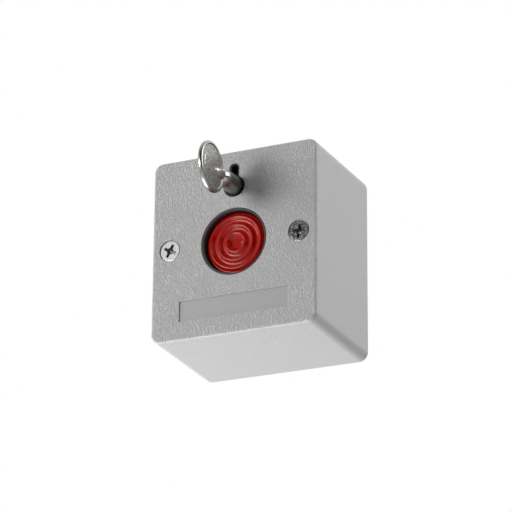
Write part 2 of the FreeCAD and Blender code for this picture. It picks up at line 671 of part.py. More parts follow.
def mechanism_frame():
    """Black moulding: collar and cup for the button, liner and socket for the key and its lock,
    rails for the catch."""
    plate_centre = (FRAME_TOP + FRAME_BOTTOM) / 2
    plate_height = FRAME_TOP - FRAME_BOTTOM
    socket_radius = SOCKET_BORE + SOCKET_WALL
    collar_y = FRONT_Y + COLLAR_SINK
    liner_gap = -COLLAR_CLEARANCE
    shield_bottom = COLLAR_OUTER
    shield_top = KEY_Z + KEYHOLE_REACH + SOCKET_WALL / 2
    shield_centre = (shield_top + shield_bottom) / 2
    pieces = [
        rod(COLLAR_OUTER, collar_y, INNER_Y),
        rod(COLLAR_INNER + CUP_WALL, INNER_Y, PLATE_REAR_Y),
        rounded_block(DECK_WIDTH, DECK_HEIGHT, FRAME_CORNER, DECK_Y, DECK_Y + FRAME_PLATE),
        rounded_block(FRAME_WIDTH, plate_height, FRAME_CORNER, PLATE_FRONT_Y, PLATE_REAR_Y,
                      plate_centre),
        rod(socket_radius, INNER_Y, PLATE_REAR_Y, 0.0, KEY_Z),
        rounded_block(SHIELD_WIDTH, shield_top - shield_bottom, SHIELD_CORNER, INNER_Y,
                      SHIELD_REAR_Y, shield_centre),
        keyhole_cut(liner_gap, collar_y, INNER_Y),
    ]
    body = fused(pieces + catch_rails())
    guide = STEM_SIDE + 2 * GUIDE_CLEARANCE
    flange_bore = ROTOR_FLANGE_RADIUS + ROTOR_CLEARANCE
    flange_end_y = ROTOR_FRONT_Y + ROTOR_FLANGE_LENGTH + ROTOR_CLEARANCE
    cuts = [
        rod(COLLAR_INNER, FRONT_Y, PLATE_FRONT_Y),
        square_bar(guide, PLATE_FRONT_Y, PLATE_REAR_Y),
        keyhole_cut(liner_gap - KEYHOLE_LINER, collar_y, SHIELD_REAR_Y),
        rod(flange_bore, SHIELD_REAR_Y, flange_end_y, 0.0, KEY_Z),
        rod(SOCKET_BORE, flange_end_y, PLATE_REAR_Y, 0.0, KEY_Z),
        sweep_pocket(),
    ]
    for x, z in four_corners(FRAME_BOSS_X, -FRAME_BOSS_Z, FRAME_BOSS_Z):
        cuts.append(rod(FRAME_SCREW[2] + SCREW_CLEARANCE, DECK_Y, DECK_Y + FRAME_PLATE, x, z))
    for x, z in four_corners(RETAINER_SCREW_X, -RETAINER_SCREW_Z, RETAINER_SCREW_Z):
        radius = RETAINER_SCREW[2] + PILOT_CLEARANCE
        cuts.append(rod(radius, PLATE_FRONT_Y, RETAINER_FRONT_Y, x, z))
    body = body.cut(cuts)
    return body.makeFillet(COLLAR_ROUND, edges_at(body, collar_y, 0.0, COLLAR_INNER))


def frame_screws():
    """Screws from behind, through the frame's deck into the cover's bosses."""
    places = four_corners(FRAME_BOSS_X, -FRAME_BOSS_Z, FRAME_BOSS_Z)
    seat_y = DECK_Y + FRAME_PLATE
    return Part.makeCompound([pan_screw(x, z, seat_y, -1, FRAME_SCREW) for x, z in places])


def catch_plate():
    """Sliding steel plate with a window for the stem, an arm to the cam and a spring tab."""
    half = STEM_SIDE / 2
    arm_left = CATCH_RIGHT - CATCH_ARM_WIDTH
    nose_tip = CAM_RADIUS + CATCH_NOSE_GAP
    nose_centre = nose_tip + CATCH_NOSE_RADIUS
    y0 = CATCH_FRONT_Y
    y1 = CATCH_REAR_Y
    pieces = [
        box(CATCH_LEFT, CATCH_RIGHT, y0, y1, -CATCH_HEIGHT / 2, CATCH_HEIGHT / 2),
        box(arm_left, CATCH_RIGHT, y0, y1, 0.0, KEY_Z + CATCH_ARM_OVER),
        box(nose_centre, arm_left, y0, y1, KEY_Z - CATCH_NOSE_RADIUS, KEY_Z + CATCH_NOSE_RADIUS),
        rod(CATCH_NOSE_RADIUS, y0, y1, nose_centre, KEY_Z),
        box(CATCH_TAB_X, CATCH_RIGHT, y0, TAB_END_Y, -CATCH_TAB_HEIGHT / 2, CATCH_TAB_HEIGHT / 2),
        rod_across(PIP_RADIUS, CATCH_RIGHT, CATCH_RIGHT + PIP_LENGTH, CATCH_SPRING_Y, 0.0),
    ]
    window_left = -half - CAM_RISE - CATCH_WINDOW_SPACE
    window_right = half + GUIDE_CLEARANCE
    window_z = half + CATCH_WINDOW_SPACE
    window = box(window_left, window_right, y0, y1, -window_z, window_z)
    return fused(pieces).cut(window)


def catch_retainer():
    """Plate behind the catch, with windows for the stem and the tab, and the spring's seat."""
    y0 = RETAINER_FRONT_Y
    y1 = RETAINER_REAR_Y
    half = STEM_SIDE / 2 + 2 * GUIDE_CLEARANCE
    reach = RAIL_Z + RAIL_WIDTH
    tab_half = CATCH_TAB_HEIGHT / 2
    pieces = [
        box(RETAINER_LEFT, RETAINER_RIGHT, y0, y1, -reach, reach),
        box(RETAINER_TAB_X, RETAINER_RIGHT, y0, TAB_END_Y, -tab_half, tab_half),
        rod_across(PIP_RADIUS, RETAINER_TAB_X - PIP_LENGTH, RETAINER_TAB_X, CATCH_SPRING_Y, 0.0),
    ]
    slot_left = CATCH_TAB_X - RAIL_CLEARANCE
    slot_right = CATCH_RIGHT + CAM_RISE + RAIL_CLEARANCE
    slot_half = tab_half + RAIL_CLEARANCE
    cuts = [box(-half, half, y0, y1, -half, half),
            box(slot_left, slot_right, y0, y1, -slot_half, slot_half)]
    for x, z in four_corners(RETAINER_SCREW_X, -RETAINER_SCREW_Z, RETAINER_SCREW_Z):
        cuts.append(rod(RETAINER_SCREW[2] + PILOT_CLEARANCE, y0, y1, x, z))
    return fused(pieces).cut(cuts)


def retainer_screws():
    """Screws that hold the retainer to the frame's rails."""
    places = four_corners(RETAINER_SCREW_X, -RETAINER_SCREW_Z, RETAINER_SCREW_Z)
    screws = [pan_screw(x, z, RETAINER_REAR_Y, -1, RETAINER_SCREW) for x, z in places]
    return Part.makeCompound(screws)


def catch_spring():
    """Small spring between the catch's tab and the retainer's tab."""
    length = RETAINER_TAB_X - CATCH_RIGHT - 2 * SPRING_GAP
    spring = coil_spring(CATCH_SPRING_RADIUS, CATCH_SPRING_WIRE, length, CATCH_SPRING_TURNS)
    spring.rotate(FreeCAD.Vector(0, 0, 0), Y_AXIS, 90)
    spring.translate(FreeCAD.Vector(CATCH_RIGHT + SPRING_GAP, CATCH_SPRING_Y, 0))
    return spring


def lock_rotor():
    """Rotor that takes the key's tip and bit, with a square spigot for the cam."""
    body = fused([
        rod(ROTOR_RADIUS, ROTOR_FRONT_Y, ROTOR_REAR_Y, 0.0, KEY_Z),
        rod(ROTOR_FLANGE_RADIUS, ROTOR_FRONT_Y, ROTOR_FRONT_Y + ROTOR_FLANGE_LENGTH, 0.0, KEY_Z),
        square_bar(CAM_SQUARE, ROTOR_REAR_Y, ROTOR_REAR_Y + CAM_THICKNESS, KEY_Z),
    ])
    half_slot = BIT_THICKNESS / 2 + BIT_CLEARANCE
    slot_top = KEY_Z + ROTOR_FLANGE_RADIUS
    slot_end_y = BIT_REAR_Y + BIT_CLEARANCE
    screw_end_y = ROTOR_REAR_Y + CAM_THICKNESS
    return body.cut([
        rod(KEY_RADIUS + ROTOR_CLEARANCE, ROTOR_FRONT_Y, KEY_BORE_Y, 0.0, KEY_Z),
        box(-half_slot, half_slot, ROTOR_FRONT_Y, slot_end_y, KEY_Z, slot_top),
        rod(CAM_SCREW[2] + PILOT_CLEARANCE, KEY_BORE_Y, screw_end_y, 0.0, KEY_Z),
    ])


def release_cam():
    """Spiral cam on the rotor: its radius grows evenly over a quarter turn."""
    growth = CAM_RISE / math.radians(KEY_TURN)
    over = math.radians(CAM_OVERRUN)
    points = []
    for step in range(CAM_STEPS + 1):
        angle = -over + step / CAM_STEPS * (math.radians(KEY_TURN) + 2 * over)
        points.append(on_cam(CAM_RADIUS + growth * angle, angle))
    base_radius = CAM_RADIUS - growth * over
    relief = math.radians(KEY_TURN + CAM_OVERRUN + CAM_RELIEF)
    back = 2 * math.pi - over
    spiral = Part.BSplineCurve()
    spiral.interpolate(points)
    relief_point = on_cam(base_radius, relief)
    heel = Part.Arc(relief_point, on_cam(base_radius, (relief + back) / 2), points[0])
    outline = Part.Wire([spiral.toShape(), Part.makeLine(points[-1], relief_point), heel.toShape()])
    cam = Part.Face(outline).extrude(FreeCAD.Vector(0, CAM_THICKNESS, 0))
    return cam.cut(square_bar(CAM_SQUARE, ROTOR_REAR_Y, ROTOR_REAR_Y + CAM_THICKNESS, KEY_Z))


def on_cam(radius, angle):
    """Point of the cam's outline, angle from +X towards +Z."""
    x = radius * math.cos(angle)
    z = radius * math.sin(angle)
    return FreeCAD.Vector(x, ROTOR_REAR_Y, KEY_Z + z)


def cam_screw():
    """Screw that holds the cam on the rotor."""
    return pan_screw(0.0, KEY_Z, ROTOR_REAR_Y + CAM_THICKNESS, -1, CAM_SCREW)


def key():
    """One-piece key: round bow with a raised rim, a root and a blunt nose, round shaft, one bit."""
    bow_y = FRONT_Y - BOW_STANDOFF
    half = BOW_THICKNESS / 2
    shoulder_y = FRONT_Y - SHOULDER_STANDOFF
    bow = rod_across(BOW_RADIUS, -half, half, bow_y, KEY_Z)
    bow = bow.makeFillet(BOW_RIM_ROUND, [edge for edge in bow.Edges if edge.Closed])
    field_radius = BOW_RADIUS - BOW_RIM
    for x0 in (-half, half - BOW_FIELD_DEPTH):
        bow = bow.cut(rod_across(field_radius, x0, x0 + BOW_FIELD_DEPTH, bow_y, KEY_Z))
    field_half = half - BOW_FIELD_DEPTH
    tip_y = KEY_TIP_Y - KEY_TIP_LENGTH
    bit_top = KEY_Z + BIT_REACH - BIT_THICKNESS / 2
    bit_y0 = BIT_REAR_Y - BIT_LENGTH
    half_bit = BIT_THICKNESS / 2
    return fused([
        bow,
        bow_pad(bow_y - BOW_PAD_OUT, field_half + BOW_PAD_RISE),
        half_ellipsoid(KEY_RADIUS, NOSE_LENGTH, shoulder_y),
        half_ellipsoid(ROOT_RADIUS, ROOT_LENGTH, FRONT_Y - ROOT_STANDOFF),
        rod(KEY_RADIUS, shoulder_y, tip_y, 0.0, KEY_Z),
        cone(KEY_RADIUS, KEY_RADIUS - KEY_TIP_LENGTH, tip_y, KEY_TIP_Y, 0.0, KEY_Z),
        box(-half_bit, half_bit, bit_y0, BIT_REAR_Y, KEY_Z, bit_top),
        rod(half_bit, bit_y0, BIT_REAR_Y, 0.0, bit_top),
    ])


def half_ellipsoid(radius, length, y):
    """Round end on the key's axis: it swells out of the bow to its full radius at y."""
    centre = FreeCAD.Vector(0, y, 0)
    tip = FreeCAD.Vector(0, y - length, 0)
    side = FreeCAD.Vector(radius, y, 0)
    quarter = Part.ArcOfEllipse(Part.Ellipse(tip, side, centre), 0, math.pi / 2)
    nose = turned([quarter.toShape(), Part.makeLine(side, centre), Part.makeLine(centre, tip)])
    nose.translate(FreeCAD.Vector(0, 0, KEY_Z))
    return nose


def bow_pad(centre_y, half_thickness):
    """Plain oval pad that stands a little proud of both sides of the bow's field."""
    centre = FreeCAD.Vector(-half_thickness, centre_y, KEY_Z + BOW_PAD_UP)
    high = centre + FreeCAD.Vector(0, 0, BOW_PAD_LONG)
    wide = centre + FreeCAD.Vector(0, BOW_PAD_SHORT, 0)
    oval = Part.Ellipse(high, wide, centre)
    face = Part.Face(Part.Wire(oval.toShape()))
    return face.extrude(FreeCAD.Vector(2 * half_thickness, 0, 0))


def board_screw_places():
    """Centres of the circuit board's screws."""
    return four_corners(BOARD_SCREW_X, BOARD_BOTTOM + BOARD_SCREW_INSET,
                        BOARD_TOP - BOARD_SCREW_INSET)


def terminal_places():
    """X of each terminal way."""
    first = -(TERMINAL_COUNT - 1) * TERMINAL_PITCH / 2
    return [first + way * TERMINAL_PITCH for way in range(TERMINAL_COUNT)]


def switch_pin_blade(offset, clearance):
    """One flat pin of the switch, through the board; clearance widens it for the board's slot."""
    x = SWITCH_LEFT + offset
    half_x = PIN_THICKNESS / 2 + clearance
    half_z = PIN_WIDTH / 2 + clearance
    return box(x - half_x, x + half_x, BOARD_FRONT_Y, BOARD_REAR_Y + PIN_REACH, -half_z, half_z)


def circuit_board():
    """Board on the base plate's posts, drilled for its parts."""
    centre_z = (BOARD_TOP + BOARD_BOTTOM) / 2
    board = rounded_block(BOARD_WIDTH, BOARD_TOP - BOARD_BOTTOM, BOARD_CORNER,
                          BOARD_FRONT_Y, BOARD_REAR_Y, centre_z)
    cuts = []
    for x, z in board_screw_places():
        radius = BOARD_SCREW[2] + SCREW_CLEARANCE
        cuts.append(rod(radius, BOARD_FRONT_Y, BOARD_REAR_Y, x, z))
    cuts += [switch_pin_blade(offset, PIN_CLEARANCE) for offset in PIN_OFFSETS]
    for x in terminal_places():
        radius = CLAMP_PIN_RADIUS + PIN_CLEARANCE
        cuts.append(rod(radius, BOARD_FRONT_Y, BOARD_REAR_Y, x, TERMINAL_Z))
    return board.cut(cuts)


def board_screws():
    """Screws that hold the board to the base plate."""
    screws = [pan_screw(x, z, BOARD_FRONT_Y, 1, BOARD_SCREW) for x, z in board_screw_places()]
    return Part.makeCompound(screws)


def switch_case():
    """Microswitch body with two ears for the lever's pin and a bore for the plunger."""
    half = SWITCH_HEIGHT / 2
    right = SWITCH_LEFT + SWITCH_LENGTH
    pieces = [box(SWITCH_LEFT, right, SWITCH_FRONT_Y, BOARD_FRONT_Y, -half, half)]
    for z0 in (-half, half - EAR_WIDTH):
        pieces.append(rod_up(EAR_RADIUS, z0, z0 + EAR_WIDTH, PIVOT_X, PIVOT_Y))
    plunger_x = PIVOT_X + PLUNGER_ARM
    bore_end_y = plunger_centre_y() + PLUNGER_LENGTH + BUTTON_TRAVEL / 2
    cuts = [rod_up(PIVOT_RADIUS + PIVOT_CLEARANCE, -half, half, PIVOT_X, PIVOT_Y),
            rod_up(EAR_RADIUS, EAR_WIDTH - half, half - EAR_WIDTH, PIVOT_X, PIVOT_Y),
            rod(PLUNGER_RADIUS + PLUNGER_CLEARANCE, SWITCH_FRONT_Y, bore_end_y, plunger_x)]
    hole_x = SWITCH_LEFT + SWITCH_LENGTH / 2
    hole_y = SWITCH_FRONT_Y + SWITCH_HOLE_DEPTH
    for side in (-1, 1):
        x = hole_x + side * SWITCH_HOLE_SPACING / 2
        cuts.append(rod_up(SWITCH_HOLE_RADIUS, -half, half, x, hole_y))
    return fused(pieces).cut(cuts)


def plunger_centre_y():
    """Centre of the plunger's round end, so that it just clears the lever at rest."""
    angle = math.radians(LEVER_REST_ANGLE)
    under_y = PIVOT_Y - PLUNGER_ARM * math.tan(angle) + LEVER_THICKNESS / 2 / math.cos(angle)
    return under_y + (PLUNGER_RADIUS + PIVOT_CLEARANCE) / math.cos(angle)


def switch_plunger():
    """Plunger with a round end under the lever."""
    x = PIVOT_X + PLUNGER_ARM
    y = plunger_centre_y()
    ball = Part.makeSphere(PLUNGER_RADIUS, FreeCAD.Vector(x, y, 0))
    return fused([ball, rod(PLUNGER_RADIUS, y, y + PLUNGER_LENGTH, x)])


def switch_lever():
    """Flat lever with a rolled hub, standing off the case at its rest angle."""
    half = LEVER_WIDTH / 2
    hub = rod_up(LEVER_HUB_RADIUS, -half, half, PIVOT_X, PIVOT_Y)
    strip = box(PIVOT_X, PIVOT_X + LEVER_LENGTH, PIVOT_Y - LEVER_THICKNESS / 2,
                PIVOT_Y + LEVER_THICKNESS / 2, -half, half)
    pivot = FreeCAD.Vector(PIVOT_X, PIVOT_Y, 0)
    strip.rotate(pivot, FreeCAD.Vector(0, 0, 1), -LEVER_REST_ANGLE)
    bore = rod_up(PIVOT_RADIUS + PIVOT_CLEARANCE, -half, half, PIVOT_X, PIVOT_Y)
    return fused([hub, strip]).cut(bore)


def switch_pin():
    """The lever's pivot pin."""
    return rod_up(PIVOT_RADIUS, -SWITCH_HEIGHT / 2, SWITCH_HEIGHT / 2, PIVOT_X, PIVOT_Y)


def switch_terminals():
    """The switch's three flat pins through the board."""
    return Part.makeCompound([switch_pin_blade(offset, 0.0) for offset in PIN_OFFSETS])


def clamp_block(x, clearance):
    """Outer shape of one clamp cage; clearance widens it for the terminal block's pocket."""
    half_x = CLAMP_WIDTH / 2 + clearance
    half_z = CLAMP_HEIGHT / 2 + clearance
    rear_y = BOARD_FRONT_Y - CLAMP_FLOOR
    return box(x - half_x, x + half_x, rear_y - CLAMP_DEPTH - clearance, rear_y,
               TERMINAL_Z - half_z, TERMINAL_Z + half_z)


def terminal_block():
    """Cable terminal block: wire holes below, screw wells in front, a pocket for each clamp."""
    half_x = TERMINAL_COUNT * TERMINAL_PITCH / 2
    half_z = TERMINAL_HEIGHT / 2
    block = box(-half_x, half_x, TERMINAL_FRONT_Y, BOARD_FRONT_Y,
                TERMINAL_Z - half_z, TERMINAL_Z + half_z)
    wire_y = BOARD_FRONT_Y - CLAMP_FLOOR - CLAMP_DEPTH / 2
    cuts = []
    for x in terminal_places():
        pocket = clamp_block(x, CLAMP_CLEARANCE)
        cuts.append(pocket)
        cuts.append(rod(TERMINAL_WELL_RADIUS, TERMINAL_FRONT_Y, pocket.BoundBox.YMin, x, TERMINAL_Z))
        cuts.append(rod(CLAMP_PIN_RADIUS + PIN_CLEARANCE, pocket.BoundBox.YMax, BOARD_FRONT_Y,
                        x, TERMINAL_Z))
        cuts.append(rod_up(WIRE_HOLE_RADIUS, TERMINAL_Z - half_z, TERMINAL_Z, x, wire_y))
    return block.cut(cuts)


def terminal_clamps():
    """Brass cages with a wire hole and a pin through the board."""
    half_z = CLAMP_HEIGHT / 2
    wire_y = BOARD_FRONT_Y - CLAMP_FLOOR - CLAMP_DEPTH / 2
    inner_x = CLAMP_WIDTH / 2 - CLAMP_WALL
    inner_y = CLAMP_DEPTH / 2 - CLAMP_WALL
    clamps = []
    for x in terminal_places():
        cage = clamp_block(x, 0.0)
        pin = rod(CLAMP_PIN_RADIUS, cage.BoundBox.YMax - CLAMP_WALL, BOARD_REAR_Y + PIN_REACH,
                  x, TERMINAL_Z)
        inside = box(x - inner_x, x + inner_x, wire_y - inner_y, wire_y + inner_y,
                     TERMINAL_Z - half_z, TERMINAL_Z + half_z)
        thread = rod(TERMINAL_SCREW_SHANK + PILOT_CLEARANCE, cage.BoundBox.YMin, wire_y,
                     x, TERMINAL_Z)
        clamps.append(cage.cut([inside, thread]).fuse(pin).removeSplitter())
    return Part.makeCompound(clamps)


def terminal_screws():
    """Clamp screws with slotted heads in the block's wells."""
    head_y = TERMINAL_FRONT_Y + TERMINAL_SCREW_SINK
    cage_y = BOARD_FRONT_Y - CLAMP_FLOOR - CLAMP_DEPTH
    slot = TERMINAL_SCREW_HEAD * SLOT_HALF_WIDTH
    screws = []
    for x in terminal_places():
        head = rod(TERMINAL_SCREW_HEAD, head_y, cage_y - CLAMP_CLEARANCE, x, TERMINAL_Z)
        shank = rod(TERMINAL_SCREW_SHANK, head_y, head_y + TERMINAL_SCREW_LENGTH + CLAMP_WALL,
                    x, TERMINAL_Z)
        cut = box(x - TERMINAL_SCREW_HEAD, x + TERMINAL_SCREW_HEAD, head_y,
                  head_y + TERMINAL_SCREW_HEAD / 2, TERMINAL_Z - slot, TERMINAL_Z + slot)
        screws.append(fused([head, shank]).cut(cut))
    return Part.makeCompound(screws)


NODES = (
    housing, cover_screws, base_plate,
    button_cap, button_stem, stem_clip, button_spring,
    mechanism_frame, frame_screws,
    catch_plate, catch_retainer, retainer_screws, catch_spring,
    lock_rotor, release_cam, cam_screw, key,
    circuit_board, board_screws,
    switch_case, switch_plunger, switch_lever, switch_pin, switch_terminals,
    terminal_block, terminal_clamps, terminal_screws,
)

os.makedirs("parts", exist_ok=True)
for make in NODES:
    make().exportStep(f"parts/{make.__name__}.step")
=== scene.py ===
import math

import bmesh
import bpy
from bpy.props import FloatProperty, FloatVectorProperty, PointerProperty
from mathutils import Matrix, Vector


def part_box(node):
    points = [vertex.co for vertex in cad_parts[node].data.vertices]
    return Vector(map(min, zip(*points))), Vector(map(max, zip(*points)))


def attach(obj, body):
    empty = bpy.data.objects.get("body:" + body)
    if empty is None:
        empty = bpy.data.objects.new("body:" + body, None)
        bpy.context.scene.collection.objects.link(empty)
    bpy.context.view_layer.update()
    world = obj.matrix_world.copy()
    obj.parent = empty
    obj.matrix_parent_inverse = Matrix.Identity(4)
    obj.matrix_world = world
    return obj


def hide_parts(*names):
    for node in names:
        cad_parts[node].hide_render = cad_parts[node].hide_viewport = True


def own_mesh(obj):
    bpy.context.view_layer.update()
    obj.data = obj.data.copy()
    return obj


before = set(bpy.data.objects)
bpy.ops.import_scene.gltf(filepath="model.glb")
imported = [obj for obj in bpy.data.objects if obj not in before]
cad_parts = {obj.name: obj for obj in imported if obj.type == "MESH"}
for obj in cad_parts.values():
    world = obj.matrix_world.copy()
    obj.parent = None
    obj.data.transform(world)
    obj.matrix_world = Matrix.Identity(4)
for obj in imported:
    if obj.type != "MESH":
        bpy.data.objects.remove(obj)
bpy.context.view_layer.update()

bl_info = {
    "name": "Panic Button",
    "version": (1, 0, 0),
    "blender": (4, 5, 0),
    "location": "View3D > Sidebar > Panic Button",
    "description": "Finishes, fixings, springs and studio for a wall-mounted panic button",
    "category": "Object",
}

MM = 0.001
FACE_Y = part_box("housing")[0].y


def linear(hex_colour):
    """Linear RGBA of an sRGB hex colour such as #A0A0A0."""
    channels = [int(hex_colour[start:start + 2], 16) / 255 for start in (1, 3, 5)]
    return [c / 12.92 if c <= 0.04045 else ((c + 0.055) / 1.055) ** 2.4 for c in channels] + [1.0]


def colour_property(name, description, hex_colour):
    """A colour that the user can change."""
    return FloatVectorProperty(name=name, description=description, subtype="COLOR", size=4,
                               min=0.0, max=1.0, default=linear(hex_colour))


def length_property(name, description, millimetres):
    """A length that the user can change, kept in metres."""
    return FloatProperty(name=name, description=description, unit="LENGTH", subtype="DISTANCE",
                         default=millimetres * MM)


def angle_property(name, description, degrees):
    """An angle that the user can change, kept in radians."""
    return FloatProperty(name=name, description=description, unit="ROTATION", subtype="ANGLE",
                         default=math.radians(degrees))


def power_property(name, description, watts):
    """A lamp's power that the user can change."""
    return FloatProperty(name=name, description=description, unit="POWER", min=0.0, default=watts)


class PanicButtonFinish(bpy.types.PropertyGroup):
    """Colours of the mouldings and metals."""
    cover: colour_property("Cover", "Light grey ABS of the cover", "#B6B5B5")
    base: colour_property("Base plate", "Light grey ABS of the wall plate", "#B4B4B2")
    cap: colour_property("Push button", "Red ABS of the push button", "#A90F04")
    black: colour_property("Mechanism frame", "Black ABS round the button and lock", "#464040")
    stem: colour_property("Stem", "Natural acetal of the button's stem", "#E6E2D6")
    zinc: colour_property("Screws", "Zinc plating of the screws", "#D2D3D2")
    nickel: colour_property("Key", "Nickel plating of the key", "#A19F9C")
    spring: colour_property("Springs", "Drawn spring steel", "#A6A8AA")
    sheet: colour_property("Sheet steel", "Zinc plated sheet of the catch", "#BFC1C2")
    mask: colour_property("Circuit board", "Green solder mask", "#1D6B3A")
    case: colour_property("Switch case", "Black polyester of the switch", "#232323")
    plunger: colour_property("Switch plunger", "White polyester of the plunger", "#E4E2DC")
    brass: colour_property("Contacts", "Tinned brass of the pins and clamps", "#D2C196")
    terminal: colour_property("Terminal block", "Green polyamide of the terminals", "#1F8050")
    solder: colour_property("Solder", "Tin solder of the joints on the board", "#D4D5D6")


class PanicButtonSizes(bpy.types.PropertyGroup):
    """Sizes of what is modelled here round the carried-over parts."""
    grain_width: length_property("Grain width", "Width of one worm of the front's grain", 0.54)
    grain_length: length_property("Grain length", "Height of one worm of the front's grain", 1.3)
    grain_depth: length_property("Grain depth", "Relief of the front's grain", 0.17)
    side_grain: length_property("Side grain", "Size of the grain on the cover's sides", 0.6)
    side_depth: length_property("Side grain depth", "Relief of the sides' grain", 0.09)
    label_depth: length_property("Label depth", "Depth of the label's smooth recess", 0.45)
    bow_rim: length_property("Bow rim", "Width of the polished rim round the key's bow", 1.1)
    bow_field: length_property("Bow field",
                               "The blasted field lies this near the bow's middle plane",
                               0.85)
    blast_grit: length_property("Blast grit", "Size of a pit in the bow's field, drawn coarser "
                                "than the real 0.2 mm so that it shows", 0.75)
    casting_detail: length_property("Casting detail", "Finest detail of the cast key", 0.15)
    spring_wire: length_property("Return spring wire", "Wire of the button's spring", 0.9)
    catch_wire: length_property("Catch spring wire", "Wire of the catch's spring", 0.4)
    solder_radius: length_property("Solder radius", "Radius of a solder joint's foot", 0.95)
    solder_height: length_property("Solder height", "Height of a solder joint", 0.75)


class PanicButtonStudio(bpy.types.PropertyGroup):
    """Camera and lights."""
    distance: length_property("Distance", "Camera to the centre of the front face", 969.0)
    aside: length_property("Aside", "The face's centre is this far left of the view's axis", 8.08)
    above: length_property("Above", "The face's centre is this far above the view's axis", 5.51)
    azimuth: angle_property("Azimuth", "Camera's turn to the right of the face", 24.743)
    rise: angle_property("Rise", "How far the camera looks up", 21.232)
    roll: angle_property("Roll", "Camera's roll", 0.5185)
    lens: FloatProperty(name="Lens", description="Focal length in millimetres on a 36 mm sensor",
                        unit="CAMERA", default=189.99, min=1.0)
    key_power: power_property("Key light", "Softbox on the left that throws the shadow", 6.15)
    upper_power: power_property("Upper light", "Weak softbox at the upper left", 0.85)
    side_power: power_property("Side light", "Narrow softbox far to the left", 1.2)
    right_power: power_property("Right light", "Softbox beyond the right side", 7.2)
    under_power: power_property("Under light", "Softbox under the left", 4.3)


def add(tree, kind, values=None, links=None, **settings):
    """Adds a node: settings are its own, values are its sockets' constants, links their sources."""
    node = tree.nodes.new(kind)
    for name, value in settings.items():
        setattr(node, name, value)
    for socket, value in (values or {}).items():
        node.inputs[socket].default_value = value
    for socket, source in (links or {}).items():
        tree.links.new(source, node.inputs[socket])
    return node


# Sockets of a Mix node: its factor, the two values that it mixes, the two colours, and their mix
MIX_FACTOR = 0
MIX_VALUE_LOW = 2
MIX_VALUE_HIGH = 3
MIX_LOW = 6
MIX_HIGH = 7
MIX_RESULT = 2


def new_material(name, values):
    """A material with one principled shader, whose own sockets hold the constants."""
    material = bpy.data.materials.new(name)
    material.use_nodes = True
    tree = material.node_tree
    tree.nodes.clear()
    shader = add(tree, "ShaderNodeBsdfPrincipled", values)
    add(tree, "ShaderNodeOutputMaterial", links={"Surface": shader.outputs["BSDF"]})
    return material, tree, shader


def shade(colour, share):
    """The same hue at a share of its light, which may be over 1."""
    return [channel * share for channel in colour[:3]] + [1.0]


ABS_IOR = 1.53
COVER_ROUGHNESS = 0.44
# The front faces -Y. These are the y of a face's normal at which the front's grain starts and is
# full, and at which the face counts as flat.
FRONT_GRAIN_FROM = -0.55
FRONT_GRAIN_FULL = -0.9
FLAT_FRONT = -0.98
# Shares of the cover's colour that paint shade in the grain's hollows, a glint on its ridges, and
# shade over the label's recess
HOLLOW_PAINTED_SHADE = 0.92
RIDGE_PAINTED_GLINT = 1.07
LABEL_PAINTED_SHADE = 0.77
# Height of the label's smooth strip as a share of the grain's depth
LABEL_LEVEL = 0.5


